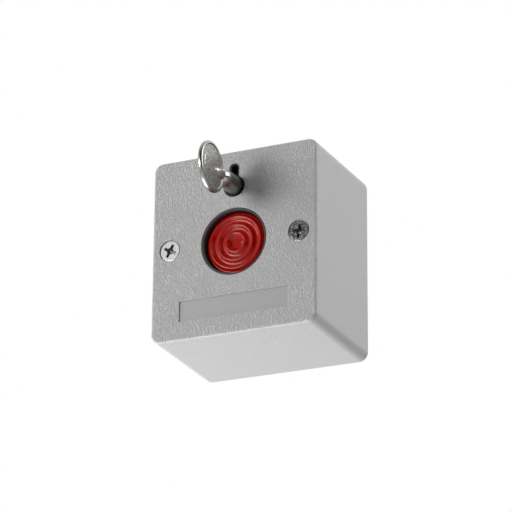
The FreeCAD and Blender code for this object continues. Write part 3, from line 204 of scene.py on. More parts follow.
def etched_abs(finish, sizes):
    """ABS, injection moulded in an etched tool. The eye gets a matt grey whose front is broken
    into upright worms, each lit by its relief, with a painted glint on its ridge and painted shade
    in its hollows, a shallower grain that runs no particular way on the sides, painted the same
    way but fainter, and a smooth strip in the label's recess, darkened with painted shade."""
    material, tree, shader = new_material(
        "abs_moulded_etched_grain", {"Roughness": COVER_ROUGHNESS, "IOR": ABS_IOR})
    place = add(tree, "ShaderNodeTexCoord")
    spot = add(tree, "ShaderNodeSeparateXYZ", links={"Vector": place.outputs["Object"]})
    facing = add(tree, "ShaderNodeSeparateXYZ", links={"Vector": place.outputs["Normal"]})
    front = add(tree, "ShaderNodeMapRange",
                {"From Min": FRONT_GRAIN_FROM, "From Max": FRONT_GRAIN_FULL},
                {"Value": facing.outputs["Y"]})
    sunk = add(tree, "ShaderNodeMath", {1: FACE_Y + sizes.label_depth / 2},
               {0: spot.outputs["Y"]}, operation="GREATER_THAN")
    flat = add(tree, "ShaderNodeMath", {1: FLAT_FRONT}, {0: facing.outputs["Y"]},
               operation="LESS_THAN")
    smooth = add(tree, "ShaderNodeMath", links={0: sunk.outputs[0], 1: flat.outputs[0]},
                 operation="MULTIPLY")
    wide = 1 / sizes.grain_width
    worm_place = add(tree, "ShaderNodeMapping", {"Scale": (wide, wide, 1 / sizes.grain_length)},
                     {"Vector": place.outputs["Object"]})
    worms = add(tree, "ShaderNodeTexNoise", {"Scale": 1.0, "Detail": 2.5, "Distortion": 0.9},
                {"Vector": worm_place.outputs["Vector"]})
    ridges = add(tree, "ShaderNodeMapRange", {"From Min": 0.36, "From Max": 0.64},
                 {"Value": worms.outputs["Fac"]}, interpolation_type="SMOOTHSTEP")
    specks = add(tree, "ShaderNodeTexNoise", {"Scale": 1 / sizes.side_grain, "Detail": 3.0},
                 {"Vector": place.outputs["Object"]})
    low_specks = add(tree, "ShaderNodeMapRange",
                     {"From Min": 0.3, "From Max": 0.7,
                      "To Max": sizes.side_depth / sizes.grain_depth},
                     {"Value": specks.outputs["Fac"]})
    pattern = add(tree, "ShaderNodeMix", links={MIX_FACTOR: front.outputs["Result"],
                                                MIX_VALUE_LOW: low_specks.outputs["Result"],
                                                MIX_VALUE_HIGH: ridges.outputs["Result"]})
    height = add(tree, "ShaderNodeMix", {MIX_VALUE_HIGH: LABEL_LEVEL},
                 {MIX_FACTOR: smooth.outputs[0], MIX_VALUE_LOW: pattern.outputs[0]})
    bump = add(tree, "ShaderNodeBump", {"Strength": 1.0, "Distance": sizes.grain_depth},
               {"Height": height.outputs[0]})
    # Painted shade in the grain's hollows and a painted glint on its ridges, fainter on the sides
    painted_grain_light = add(tree, "ShaderNodeMix", {MIX_LOW: shade(finish.cover, HOLLOW_PAINTED_SHADE),
                                          MIX_HIGH: shade(finish.cover, RIDGE_PAINTED_GLINT)},
                  {MIX_FACTOR: height.outputs[0]}, data_type="RGBA")
    # Painted shade over the label's smooth recess
    tint = add(tree, "ShaderNodeMix", {MIX_HIGH: shade(finish.cover, LABEL_PAINTED_SHADE)},
               {MIX_FACTOR: smooth.outputs[0], MIX_LOW: painted_grain_light.outputs[MIX_RESULT]},
               data_type="RGBA")
    tree.links.new(bump.outputs["Normal"], shader.inputs["Normal"])
    tree.links.new(tint.outputs[MIX_RESULT], shader.inputs["Base Color"])
    return material


# How much a moulding's roughness wavers, its darkest shade, and the depth of a flow mark
FLOW_WAVER = 0.15
FLOW_SHADE = 0.9
FLOW_DEPTH = 0.012 * MM


def moulded_plastic(name, colour, roughness, size, values):
    """Plastic, injection moulded in a plain tool. The eye gets one even colour whose sheen
    wavers a little over the width of a flow mark, which is size."""
    material, tree, shader = new_material(name, values)
    place = add(tree, "ShaderNodeTexCoord").outputs["Object"]
    flow = add(tree, "ShaderNodeTexNoise", {"Scale": 1 / size, "Detail": 3.0}, {"Vector": place})
    sheen = add(tree, "ShaderNodeMapRange",
                {"From Min": 0.3, "From Max": 0.7, "To Min": roughness * (1 - FLOW_WAVER),
                 "To Max": roughness * (1 + FLOW_WAVER)}, {"Value": flow.outputs["Fac"]})
    tint = add(tree, "ShaderNodeMix", {MIX_LOW: shade(colour, FLOW_SHADE), MIX_HIGH: colour[:]},
               {MIX_FACTOR: flow.outputs["Fac"]}, data_type="RGBA")
    bump = add(tree, "ShaderNodeBump", {"Strength": 1.0, "Distance": FLOW_DEPTH},
               {"Height": flow.outputs["Fac"]})
    tree.links.new(sheen.outputs["Result"], shader.inputs["Roughness"])
    tree.links.new(tint.outputs[MIX_RESULT], shader.inputs["Base Color"])
    tree.links.new(bump.outputs["Normal"], shader.inputs["Normal"])
    return material


# Shares of a worked metal's roughness where it is brightest and dullest, its darkest shade, and the
# depth of a mark
MARK_BRIGHTEST = 0.7
MARK_DULLEST = 1.4
MARK_SHADE = 0.8
MARK_DEPTH = 0.006 * MM


def worked_metal(name, colour, roughness, size, stretch=(1, 1, 1)):
    """Metal, rolled, drawn, turned or plated. The eye gets a mirror dulled in blotches of the given
    size, drawn out by stretch along the way that it was worked."""
    material, tree, shader = new_material(name, {"Metallic": 1.0})
    place = add(tree, "ShaderNodeTexCoord").outputs["Object"]
    worked = add(tree, "ShaderNodeMapping", {"Scale": [1 / (size * along) for along in stretch]},
                 {"Vector": place})
    marks = add(tree, "ShaderNodeTexNoise", {"Scale": 1.0, "Detail": 4.0},
                {"Vector": worked.outputs["Vector"]})
    dull = add(tree, "ShaderNodeMapRange",
               {"From Min": 0.35, "From Max": 0.65, "To Min": roughness * MARK_BRIGHTEST,
                "To Max": roughness * MARK_DULLEST}, {"Value": marks.outputs["Fac"]})
    tint = add(tree, "ShaderNodeMix", {MIX_LOW: shade(colour, MARK_SHADE), MIX_HIGH: colour[:]},
               {MIX_FACTOR: marks.outputs["Fac"]}, data_type="RGBA")
    bump = add(tree, "ShaderNodeBump", {"Strength": 1.0, "Distance": MARK_DEPTH},
               {"Height": marks.outputs["Fac"]})
    tree.links.new(dull.outputs["Result"], shader.inputs["Roughness"])
    tree.links.new(tint.outputs[MIX_RESULT], shader.inputs["Base Color"])
    tree.links.new(bump.outputs["Normal"], shader.inputs["Normal"])
    return material


# The key's roughness on the rim, on the shaft and in the bow's field, and the shares of its colour
#  that paint a highlight on the rim, shade on the shaft and shade in the pits
RIM_ROUGHNESS = 0.17
SHAFT_ROUGHNESS = 0.31
FIELD_ROUGHNESS = 0.36
RIM_PAINTED_HIGHLIGHT = 1.2
SHAFT_PAINTED_SHADE = 0.65
PIT_PAINTED_SHADE = 0.62
# The shaft's roughness and painted shade start this far inside the bow's edge and are full this far
# outside
SHAFT_INSIDE = 1.0 * MM
SHAFT_OUTSIDE = 0.5 * MM
# A pit is this many times as wide as it is deep
PIT_FLATNESS = 15


def cast_nickel(finish, sizes):
    """Zinc, die cast, blasted in the bow's field and nickel plated. The eye gets a polished rim
    lightened with a painted highlight, round a field of fine dull speckle darkened with painted
    shade in its pits, and a shaft that the lock has rubbed dull, darkened with painted shade."""
    material, tree, shader = new_material("zinc_diecast_nickel_plated", {"Metallic": 1.0})
    place = add(tree, "ShaderNodeTexCoord").outputs["Object"]
    low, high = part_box("key")
    bow_radius = (high.z - low.z) / 2
    moved = add(tree, "ShaderNodeMapping",
                {"Location": (0, -low.y - bow_radius, -(low.z + high.z) / 2)}, {"Vector": place})
    flat = add(tree, "ShaderNodeVectorMath", {1: (0, 1, 1)},
               {0: moved.outputs["Vector"]}, operation="MULTIPLY")
    out = add(tree, "ShaderNodeVectorMath", links={0: flat.outputs[0]}, operation="LENGTH")
    within = add(tree, "ShaderNodeMath", {1: bow_radius - sizes.bow_rim},
                 {0: out.outputs["Value"]}, operation="LESS_THAN")
    across = add(tree, "ShaderNodeSeparateXYZ", links={"Vector": place})
    aside = add(tree, "ShaderNodeMath", links={0: across.outputs["X"]}, operation="ABSOLUTE")
    thin = add(tree, "ShaderNodeMath", {1: sizes.bow_field}, {0: aside.outputs[0]},
               operation="LESS_THAN")
    field = add(tree, "ShaderNodeMath", links={0: within.outputs[0], 1: thin.outputs[0]},
                operation="MULTIPLY")
    grit = add(tree, "ShaderNodeTexNoise", {"Scale": 1 / sizes.blast_grit, "Detail": 2.0},
               {"Vector": place})
    speckle = add(tree, "ShaderNodeMapRange", {"From Min": 0.35, "From Max": 0.65},
                  {"Value": grit.outputs["Fac"]})
    shaft = add(tree, "ShaderNodeMapRange", {"From Min": bow_radius - SHAFT_INSIDE,
                                             "From Max": bow_radius + SHAFT_OUTSIDE},
                {"Value": out.outputs["Value"]})
    polish = add(tree, "ShaderNodeMix",
                 {MIX_VALUE_LOW: RIM_ROUGHNESS, MIX_VALUE_HIGH: SHAFT_ROUGHNESS},
                 {MIX_FACTOR: shaft.outputs["Result"]})
    dull = add(tree, "ShaderNodeMix", {MIX_VALUE_HIGH: FIELD_ROUGHNESS},
               {MIX_FACTOR: field.outputs[0], MIX_VALUE_LOW: polish.outputs[0]})
    pits = add(tree, "ShaderNodeMath", links={0: speckle.outputs["Result"], 1: field.outputs[0]},
               operation="MULTIPLY")
    bump = add(tree, "ShaderNodeBump", {"Strength": 1.0, "Distance": sizes.blast_grit / PIT_FLATNESS},
               {"Height": pits.outputs[0]})
    # Painted highlight on the polished rim and painted shade on the shaft
    rim_highlight_and_shaft_shade = add(tree, "ShaderNodeMix", {MIX_LOW: shade(finish.nickel, RIM_PAINTED_HIGHLIGHT),
                                         MIX_HIGH: shade(finish.nickel, SHAFT_PAINTED_SHADE)},
                 {MIX_FACTOR: shaft.outputs["Result"]}, data_type="RGBA")
    # Painted shade in the pits of the blasted field
    tint = add(tree, "ShaderNodeMix", {MIX_HIGH: shade(finish.nickel, PIT_PAINTED_SHADE)},
               {MIX_FACTOR: pits.outputs[0], MIX_LOW: rim_highlight_and_shaft_shade.outputs[MIX_RESULT]}, data_type="RGBA")
    tree.links.new(dull.outputs[0], shader.inputs["Roughness"])
    tree.links.new(tint.outputs[MIX_RESULT], shader.inputs["Base Color"])
    tree.links.new(bump.outputs["Normal"], shader.inputs["Normal"])
    return material


def dress(node, material):
    """Gives a carried-over part its material."""
    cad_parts[node].material_slots[0].material = material


# Corners of a carried-over part that lie nearer than this, in metres, are one corner
WELD = 1e-6


def solids_of(node):
    """Lowest and highest corner of each separate solid in a carried-over part."""
    mesh = bmesh.new()
    mesh.from_mesh(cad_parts[node].data)
    bmesh.ops.remove_doubles(mesh, verts=mesh.verts, dist=WELD)
    left = set(mesh.verts)
    boxes = []
    while left:
        border = [left.pop()]
        corners = []
        while border:
            vert = border.pop()
            corners.append(vert.co.copy())
            for edge in vert.link_edges:
                other = edge.other_vert(vert)
                if other in left:
                    left.remove(other)
                    border.append(other)
        low = Vector([min(corner[axis] for corner in corners) for axis in range(3)])
        high = Vector([max(corner[axis] for corner in corners) for axis in range(3)])
        boxes.append((low, high))
    mesh.free()
    return sorted(boxes, key=lambda box: (round(box[0].x, 5), round(box[0].z, 5)))


def finish_piece(piece, body, materials, nodes=(), crease=35.0):
    """Shades a modelled piece and fastens it to the body that it rides on. Each face keeps its
    material index, which is a place in the list of materials."""
    piece.data.shade_smooth()
    piece.data.set_sharp_from_angle(angle=math.radians(crease))
    marks = [face.material_index for face in piece.data.polygons]
    piece.data.materials.clear()
    for material in materials:
        piece.data.materials.append(material)
    piece.data.polygons.foreach_set("material_index", marks)
    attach(piece, body)
    if nodes:
        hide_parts(*nodes)
    return piece


def piece_from(name, verts, faces):
    """A mesh object in the scene from corners and faces."""
    mesh = bpy.data.meshes.new(name)
    mesh.from_pydata(verts, [], faces)
    mesh.validate()
    piece = bpy.data.objects.new(name, mesh)
    bpy.context.scene.collection.objects.link(piece)
    return piece


def apply_modifiers(piece):
    """Turns the piece's modifiers into its mesh."""
    graph = bpy.context.evaluated_depsgraph_get()
    mesh = bpy.data.meshes.new_from_object(piece.evaluated_get(graph))
    piece.modifiers.clear()
    piece.data = mesh


def flat_shading(piece):
    """Lets large faces keep their own normals, so that a flat head with soft edges looks flat."""
    piece.modifiers.new("weighted", "WEIGHTED_NORMAL").keep_sharp = True
    apply_modifiers(piece)


def joined(name, pieces):
    """One object from several."""
    mesh = bmesh.new()
    for piece in pieces:
        mesh.from_mesh(piece.data)
        bpy.data.objects.remove(piece)
    whole = piece_from(name, [], [])
    mesh.to_mesh(whole.data)
    mesh.free()
    return whole


def turned(name, rows, segments, thread=None):
    """A closed turned shape about +Y. rows are (radius, y). thread is (start, end, pitch, depth):
    between start and end the radius falls by depth in a left-hand helical groove."""
    verts = []
    faces = []
    if thread:
        start, end, pitch, depth = thread
    for radius, y in rows:
        for step in range(segments):
            angle = 2 * math.pi * step / segments
            here = radius
            if thread and start <= y <= end:
                phase = (y / pitch - step / segments) % 1.0
                fade = min(1.0, (y - start) / pitch)
                here -= depth * fade * abs(2 * phase - 1)
            verts.append((here * math.cos(angle), y, here * math.sin(angle)))
    for row in range(len(rows) - 1):
        for step in range(segments):
            following = (step + 1) % segments
            a = row * segments
            b = a + segments
            faces.append((a + step, b + step, b + following, a + following))
    faces.append(tuple(range(segments)))
    faces.append(tuple(reversed(range((len(rows) - 1) * segments, len(rows) * segments))))
    return piece_from(name, verts, faces)


def cut(piece, cutters):
    """Cuts each cutter's shape out of the piece and removes the cutters."""
    for cutter in cutters:
        change = piece.modifiers.new("cut", "BOOLEAN")
        change.operation = "DIFFERENCE"
        change.solver = "EXACT"
        change.object = cutter
    apply_modifiers(piece)
    for cutter in cutters:
        bpy.data.objects.remove(cutter)


# A cross recess, as shares of its reach: wings, their narrow ends, and the star at its middle
WING_WIDTH = 0.44
WING_END = 0.62
WING_END_WIDTH = 0.38
STAR_RADIUS = 0.58
STAR_END = 0.30
# A thread: rows in one pitch, and its depth and its blunt point as shares of the shank's radius
THREAD_STEPS = 12
THREAD_DEPTH = 0.26
POINT_RADIUS = 0.2
SCREW_SEGMENTS = 64
# A countersunk head's rim in millimetres, and a pan head's flat top and the height of its shoulder
# as shares of its radius and height
HEAD_RIM = 0.3
PAN_FLAT = 0.62
PAN_SHOULDER = 0.6
PAN_STEPS = 6
# A screw's bevelled edges: their width as a share of the recess's reach, and from what angle
EDGE_WIDTH = 0.03
EDGE_ANGLE = 50


def cross_cutters(reach, depth):
    """Two crossing keels and a four-sided star that taper inwards, as a cross driver's tip."""
    cutters = []
    over = 0.05 * depth
    for turn in (0, 90):
        spin = Matrix.Rotation(math.radians(turn), 3, "Y")
        verts = []
        for y, long, wide in ((-over, reach, reach * WING_WIDTH),
                              (depth, reach * WING_END, reach * WING_END_WIDTH)):
            for side_x, side_z in ((-1, -1), (1, -1), (1, 1), (-1, 1)):
                verts.append(spin @ Vector((side_x * long, y, side_z * wide / 2)))
        cutters.append(piece_from("keel", verts, prism_faces(4)))
    verts = []
    for y, out in ((-over, reach * STAR_RADIUS), (depth, reach * STAR_END)):
        for corner in range(4):
            angle = math.radians(90 * corner + 45)
            verts.append((out * math.cos(angle), y, out * math.sin(angle)))
    cutters.append(piece_from("star", verts, prism_faces(4)))
    return cutters


def prism_faces(sides):
    """Faces of a prism whose first ring of corners is its start and second is its end."""
    faces = [tuple(range(sides)), tuple(reversed(range(sides, 2 * sides)))]
    for side in range(sides):
        following = (side + 1) % sides
        faces.append((side, side + sides, following + sides, following))
    return faces


def shank_rows(start, end, radius, pitch):
    """Rows of a threaded shank with a blunt point."""
    rows = []
    count = round((end - radius - start) / pitch * THREAD_STEPS)
    for step in range(count + 1):
        rows.append((radius, start + (end - radius - start) * step / count))
    rows.append((radius * POINT_RADIUS, end))
    return rows


def flat_head(radius, height, shank):
    """Rows of a countersunk head with a narrow rim."""
    rim = HEAD_RIM * MM
    soft = 0.08 * MM
    return [(radius - soft, 0.0), (radius - 0.3 * soft, 0.3 * soft), (radius, soft),
            (radius, rim), (shank, height)]


def pan_head(radius, height, shank):
    """Rows of a pan head: flat on top, rounded at the shoulder, flat underneath."""
    rows = []
    for step in range(PAN_STEPS + 1):
        angle = math.radians(90 * step / PAN_STEPS)
        rows.append((radius * (PAN_FLAT + (1 - PAN_FLAT) * math.sin(angle)),
                     height * PAN_SHOULDER * (1 - math.cos(angle))))
    underneath = [(radius, height * 0.97), (radius * 0.98, height), (shank, height)]
    return rows + underneath


def screw(name, head_rows, reach, turn, length, shank, pitch):
    """A screw whose head's top lies at the origin and whose shank runs along +Y."""
    below_head = 0.01 * MM
    start = head_rows[-1][1] + below_head
    rows = head_rows + shank_rows(start, length, shank, pitch)
    thread = (start, length - shank, pitch, shank * THREAD_DEPTH)
    piece = turned(name, rows, SCREW_SEGMENTS, thread)
    cutters = cross_cutters(reach, reach)
    for cutter in cutters:
        cutter.data.transform(Matrix.Rotation(turn, 4, "Y"))
    cut(piece, cutters)
    edge = piece.modifiers.new("edge", "BEVEL")
    edge.width = reach * EDGE_WIDTH
    edge.segments = 2
    edge.limit_method = "ANGLE"
    edge.angle_limit = math.radians(EDGE_ANGLE)
    apply_modifiers(piece)
    mark_recess(piece, reach)
    return piece


def mark_recess(piece, reach):
    """Marks the walls and the floor of the cross recess, which don't face outwards, as the second
    material's, which paints shade there."""
    top = 0.04 * MM
    bottom = 1.05 * reach
    outwards = 0.2
    for face in piece.data.polygons:
        spot = Vector((face.center.x, 0, face.center.z))
        inside = top < face.center.y < bottom and spot.length < reach
        if inside and face.normal.dot(spot) <= outwards * spot.length:
            face.material_index = 1


def lean_head(piece, slope, depth):
    """Tilts a flat head in its seat, fading to nothing at depth, so that the shank stays put."""
    for vert in piece.data.vertices:
        share = max(0.0, 1 - vert.co.y / depth)
        vert.co.y += slope * vert.co.x * share


def coil(name, radius, wire, length, turns=6, closed=0.75, segments=40, sides=14):
    """A left-hand compression spring along +Y from 0 to length, with closed and ground ends.
    closed is the turns at each end that lie on their neighbour."""
    steps = round(turns * segments)
    span = length - wire
    dead = wire * closed
    active = turns - 2 * closed
    ground = 0.18 * wire
    verts = []
    faces = []
    for step in range(steps + 1):
        turn = step / segments
        if turn < closed:
            y = wire * turn
        elif turn > turns - closed:
            y = span - wire * (turns - turn)
        else:
            y = dead + (span - 2 * dead) * (turn - closed) / active
        angle = 2 * math.pi * turn
        out = Vector((math.cos(angle), 0, math.sin(angle)))
        for side in range(sides):
            around = 2 * math.pi * side / sides
            point = out * (radius + wire / 2 * math.cos(around))
            height = y + wire / 2 + wire / 2 * math.sin(around)
            point.y = min(max(height, ground), length - ground)
            verts.append(point)
    for step in range(steps):
        for side in range(sides):
            following = (side + 1) % sides
            a = step * sides
            b = a + sides
            faces.append((a + side, a + following, b + following, b + side))
    faces.append(tuple(reversed(range(sides))))
    faces.append(tuple(range(steps * sides, (steps + 1) * sides)))
    return piece_from(name, verts, faces)


class PANICBUTTON_OT_mouldings(bpy.types.Operator):
    """Finish the cover, the wall plate, the frame and the push button"""
    bl_idname = "panic_button.mouldings"
    bl_label = "Mouldings"

    def execute(self, context):
        finish = context.scene.panic_button_finish
        sizes = context.scene.panic_button_sizes
        dress("housing", etched_abs(finish, sizes))
        # The cover's grey from a plain tool: satin, without grain
        dress("base_plate", moulded_plastic(
            "abs_moulded_grey", finish.base, roughness=0.45, size=3 * MM, values={"IOR": ABS_IOR}))
        # Polished red: a clear but weak highlight along each ridge
        dress("button_cap", moulded_plastic(
            "abs_moulded_red", finish.cap, roughness=0.16, size=3 * MM,
            values={"IOR": ABS_IOR, "Specular IOR Level": 0.3}))
        # Black that looks dark grey where light falls on it, with a faint sheen
        black = moulded_plastic(
            "abs_moulded_black", finish.black, roughness=0.3, size=3 * MM,
            values={"IOR": ABS_IOR, "Specular IOR Level": 0.2})
        dress("mechanism_frame", black)
        dress("lock_rotor", black)
        # Off-white and a little waxy, because light goes some way into acetal
        dress("button_stem", moulded_plastic(
            "acetal_moulded", finish.stem, roughness=0.4, size=2 * MM,
            values={"IOR": 1.48, "Subsurface Weight": 0.1, "Subsurface Scale": 0.5 * MM}))
        return {"FINISHED"}


class PANICBUTTON_OT_key(bpy.types.Operator):
    """Cast the key: the same form with soft edges and fillets"""
    bl_idname = "panic_button.key"
    bl_label = "Key"

    def execute(self, context):
        finish = context.scene.panic_button_finish
        sizes = context.scene.panic_button_sizes
        casting = bpy.data.objects.new("key_casting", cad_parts["key"].data.copy())
        context.scene.collection.objects.link(casting)
        remesh = casting.modifiers.new("remesh", "REMESH")
        remesh.mode = "VOXEL"
        remesh.voxel_size = sizes.casting_detail
        soft = casting.modifiers.new("soft", "SMOOTH")
        soft.factor = 0.5
        soft.iterations = 4
        apply_modifiers(casting)
        finish_piece(casting, "key", [cast_nickel(finish, sizes)], ["key"],
                     crease=70.0)
        return {"FINISHED"}


class PANICBUTTON_OT_catch(bpy.types.Operator):
    """Finish the catch, its retainer, the cam and the clip"""
    bl_idname = "panic_button.catch"
    bl_label = "Catch"

    def execute(self, context):
        finish = context.scene.panic_button_finish
        # Pale grey, streaked along the way that the sheet was rolled
        sheet = worked_metal("steel_sheet_zinc_plated", finish.sheet, roughness=0.28,
                             size=0.6 * MM, stretch=(6, 1, 1))
        for node in ("catch_plate", "catch_retainer", "release_cam"):
            dress(node, sheet)
        # The springs' steel without plating, a shade darker than the sheet
        dress("stem_clip", worked_metal("steel_spring_sheet", finish.spring, roughness=0.25,
                                        size=0.6 * MM))
        return {"FINISHED"}


# Pan-head screws: node, the body that they ride on, the side that the head is on (1 is +Y), and
# head height, shank radius and thread pitch in millimetres
PAN_SCREWS = (
    ("frame_screws", "body", 1, 1.8, 1.2, 1.0),
    ("retainer_screws", "body", 1, 1.1, 0.8, 0.7),
    ("board_screws", "body", -1, 1.4, 0.85, 0.75),
    ("cam_screw", "lock", 1, 1.4, 1.1, 0.8),
)
# The left and the right cover screw: turn of the cross and outward lean of the head, in degrees. A
# lean below zero is inward.
COVER_TURNS = (28.0, 10.0)
COVER_LEANS = (1.6, -0.2)
# The cover screws' pitch and shank radius in millimetres
COVER_PITCH = 1.3
COVER_SHANK = 1.75
# Reach of the cross recess as a share of the head's radius
COVER_REACH = 0.70
PAN_REACH = 0.50


class PANICBUTTON_OT_screws(bpy.types.Operator):
    """Model the screws with threads and cross recesses"""
    bl_idname = "panic_button.screws"
    bl_label = "Screws"

    def execute(self, context):
        zinc = context.scene.panic_button_finish.zinc
        # Bright plating on heads and threads, and a rougher copy at half its colour that paints shade
        # into the recess
        bright = worked_metal("steel_zinc_plated_bright", zinc, roughness=0.15, size=0.8 * MM)
        # The recess's copy: the zinc at half its colour, as painted shade
        thin = worked_metal("steel_zinc_plated_thin", shade(zinc, 0.5), roughness=0.5,
                            size=0.8 * MM)
        self.cover_screws([bright, thin])
        for kind in PAN_SCREWS:
            self.pan_screws([bright, thin], *kind)
        dress("terminal_screws", bright)
        return {"FINISHED"}

    def cover_screws(self, plating):
        """The two countersunk screws, whose heads lean a little in their seats. The plating is
        bright on the head, and in the recess rougher and darkened with painted shade."""
        screws = []
        for (low, high), turn, lean in zip(solids_of("cover_screws"), COVER_TURNS, COVER_LEANS):
            radius = (high.x - low.x) / 2
            shank = COVER_SHANK * MM
            height = HEAD_RIM * MM + radius - shank
            rows = flat_head(radius, height, shank)
            piece = screw("cover_screw", rows, radius * COVER_REACH, math.radians(turn),
                          high.y - low.y, shank, COVER_PITCH * MM)
            middle = (low + high) / 2
            side = 1 if middle.x > 0 else -1
            lean_head(piece, side * math.tan(math.radians(lean)), height)
            piece.data.transform(Matrix.Translation((middle.x, low.y, middle.z)))
            screws.append(piece)
        pair = finish_piece(joined("cover_screw_pair", screws), "body", plating,
                            ["cover_screws"])
        flat_shading(pair)

    def pan_screws(self, plating, node, body, side, height, shank, pitch):
        """The screws of one kind, each turned one radian further than the last, so that no two
        crosses stand alike. A head on the +Y side faces the wall."""
        screws = []
        for turn, (low, high) in enumerate(solids_of(node)):
            radius = (high.x - low.x) / 2
            rows = pan_head(radius, height * MM, shank * MM)
            piece = screw(node, rows, radius * PAN_REACH, turn, high.y - low.y, shank * MM,
                          pitch * MM)
            middle = (low + high) / 2
            flip = Matrix.Rotation(math.radians(180), 4, "X") if side > 0 else Matrix()
            top = high.y if side > 0 else low.y
            piece.data.transform(Matrix.Translation((middle.x, top, middle.z)) @ flip)
            screws.append(piece)
        flat_shading(finish_piece(joined(f"{node}_threaded", screws), body, plating,
                                  [node]))


class PANICBUTTON_OT_springs(bpy.types.Operator):
    """Model the return spring and the catch's spring"""
    bl_idname = "panic_button.springs"
    bl_label = "Springs"

    def execute(self, context):
        finish = context.scene.panic_button_finish
        sizes = context.scene.panic_button_sizes
        # Grey and fairly bright, from the die that the wire was drawn through
        wire = worked_metal("steel_spring_wire_drawn", finish.spring, roughness=0.22,
                            size=0.5 * MM)
        low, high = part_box("button_spring")
        radius = (high.x - low.x - sizes.spring_wire) / 2
        spring = coil("return_spring", radius, sizes.spring_wire, high.y - low.y)
        spring.data.transform(Matrix.Translation((0, low.y, 0)))
        finish_piece(spring, "body", [wire], ["button_spring"])
        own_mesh(spring)
        low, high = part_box("catch_spring")
        radius = (high.z - low.z - sizes.catch_wire) / 2
        spring = coil("catch_return_spring", radius, sizes.catch_wire, high.x - low.x)
        middle = (low + high) / 2
        spring.data.transform(Matrix.Translation((low.x, middle.y, middle.z))
                              @ Matrix.Rotation(math.radians(-90), 4, "Z"))
        finish_piece(spring, "body", [wire], ["catch_spring"])
        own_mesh(spring)
        return {"FINISHED"}


# A solder joint: rows, and its radius at the pin as a share of its foot's
SOLDER_STEPS = 8
SOLDER_NECK = 0.42


class PANICBUTTON_OT_circuit(bpy.types.Operator):
    """Finish the circuit board, the switch and the terminals, and solder them"""
    bl_idname = "panic_button.circuit"
    bl_label = "Circuit"

    def execute(self, context):
        finish = context.scene.panic_button_finish
        # Solder mask: an even green coat with a soft gloss
        dress("circuit_board", moulded_plastic(
            "laminate_solder_mask", finish.mask, roughness=0.3, size=1.5 * MM, values={"IOR": 1.55}))
        # Small mouldings: a dull black, and a white and a green with a little more gloss
        plastic = {"IOR": 1.52}
        dress("switch_case", moulded_plastic(
            "polyester_moulded_black", finish.case, roughness=0.4, size=MM, values=plastic))
        dress("switch_plunger", moulded_plastic(
            "polyester_moulded_white", finish.plunger, roughness=0.3, size=MM, values=plastic))
        dress("terminal_block", moulded_plastic(
            "polyamide_moulded_green", finish.terminal, roughness=0.35, size=MM, values=plastic))
        # Bright strip, streaked along the lever
        strip = worked_metal("steel_spring_strip", finish.spring, roughness=0.2, size=0.5 * MM,
                             stretch=(5, 1, 1))
        for node in ("switch_lever", "switch_pin"):
            dress(node, strip)
        # Tin over brass: a pale yellow that is fairly bright
        brass = worked_metal("brass_tinned", finish.brass, roughness=0.22, size=0.5 * MM)
        for node in ("switch_terminals", "terminal_clamps"):
            dress(node, brass)
        self.solder(finish, context.scene.panic_button_sizes)
        return {"FINISHED"}

    def solder(self, finish, sizes):
        """A hollow-sided cone of solder round each pin on the back of the board."""
        board_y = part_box("circuit_board")[1].y
        joints = []
        for node in ("switch_terminals", "terminal_clamps"):
            for low, high in solids_of(node):
                rows = []
                for step in range(SOLDER_STEPS + 1):
                    up = step / SOLDER_STEPS
                    share = SOLDER_NECK + (1 - SOLDER_NECK) * (1 - up) ** 2
                    rows.append((sizes.solder_radius * share, up * sizes.solder_height))
                joint = turned("solder", rows, segments=24)
                middle = (low + high) / 2
                joint.data.transform(Matrix.Translation((middle.x, board_y, middle.z)))
                joints.append(joint)
        # Bright silver, a little cloudy where it set
        tin = worked_metal("solder_tin", finish.solder, roughness=0.25, size=0.5 * MM)
        finish_piece(joined("solder_joints", joints), "body", [tin])


# The studio is dim towards the right, front and below, the way that the camera stands. The light
# falls from bright to dim as the cosine to that side goes from DIM_FROM to DIM_TO.
DIM_SIDE = (0.45, -0.8, -0.35)
DIM_FROM = -0.55
DIM_TO = 0.3
BRIGHT_WORLD = 1.1
DIM_WORLD = 0.015
# Height and half the width of the floor, in metres, and its paper to the eye and to the light
FLOOR_Z = -0.7
FLOOR_HALF = 3.0
PAPER_SEEN = "#EDEDED"
PAPER_LIT = "#7C7C7C"
# Softboxes: name, azimuth and elevation in degrees, distance and size in metres. Azimuth is to the
# left of the front. Each one's power is a property of the studio.
SOFTBOXES = (
    ("key", 30.5, 1.0, 1.0, (0.42, 0.36)),
    ("upper", 42.0, 20.0, 1.0, (0.52, 0.55)),
    ("side", 61.0, 8.0, 1.0, (0.14, 0.30)),
    ("right", -97.0, 30.0, 1.0, (0.8, 0.8)),
    ("under", 97.0, -60.0, 0.6, (0.4, 0.4)),
)


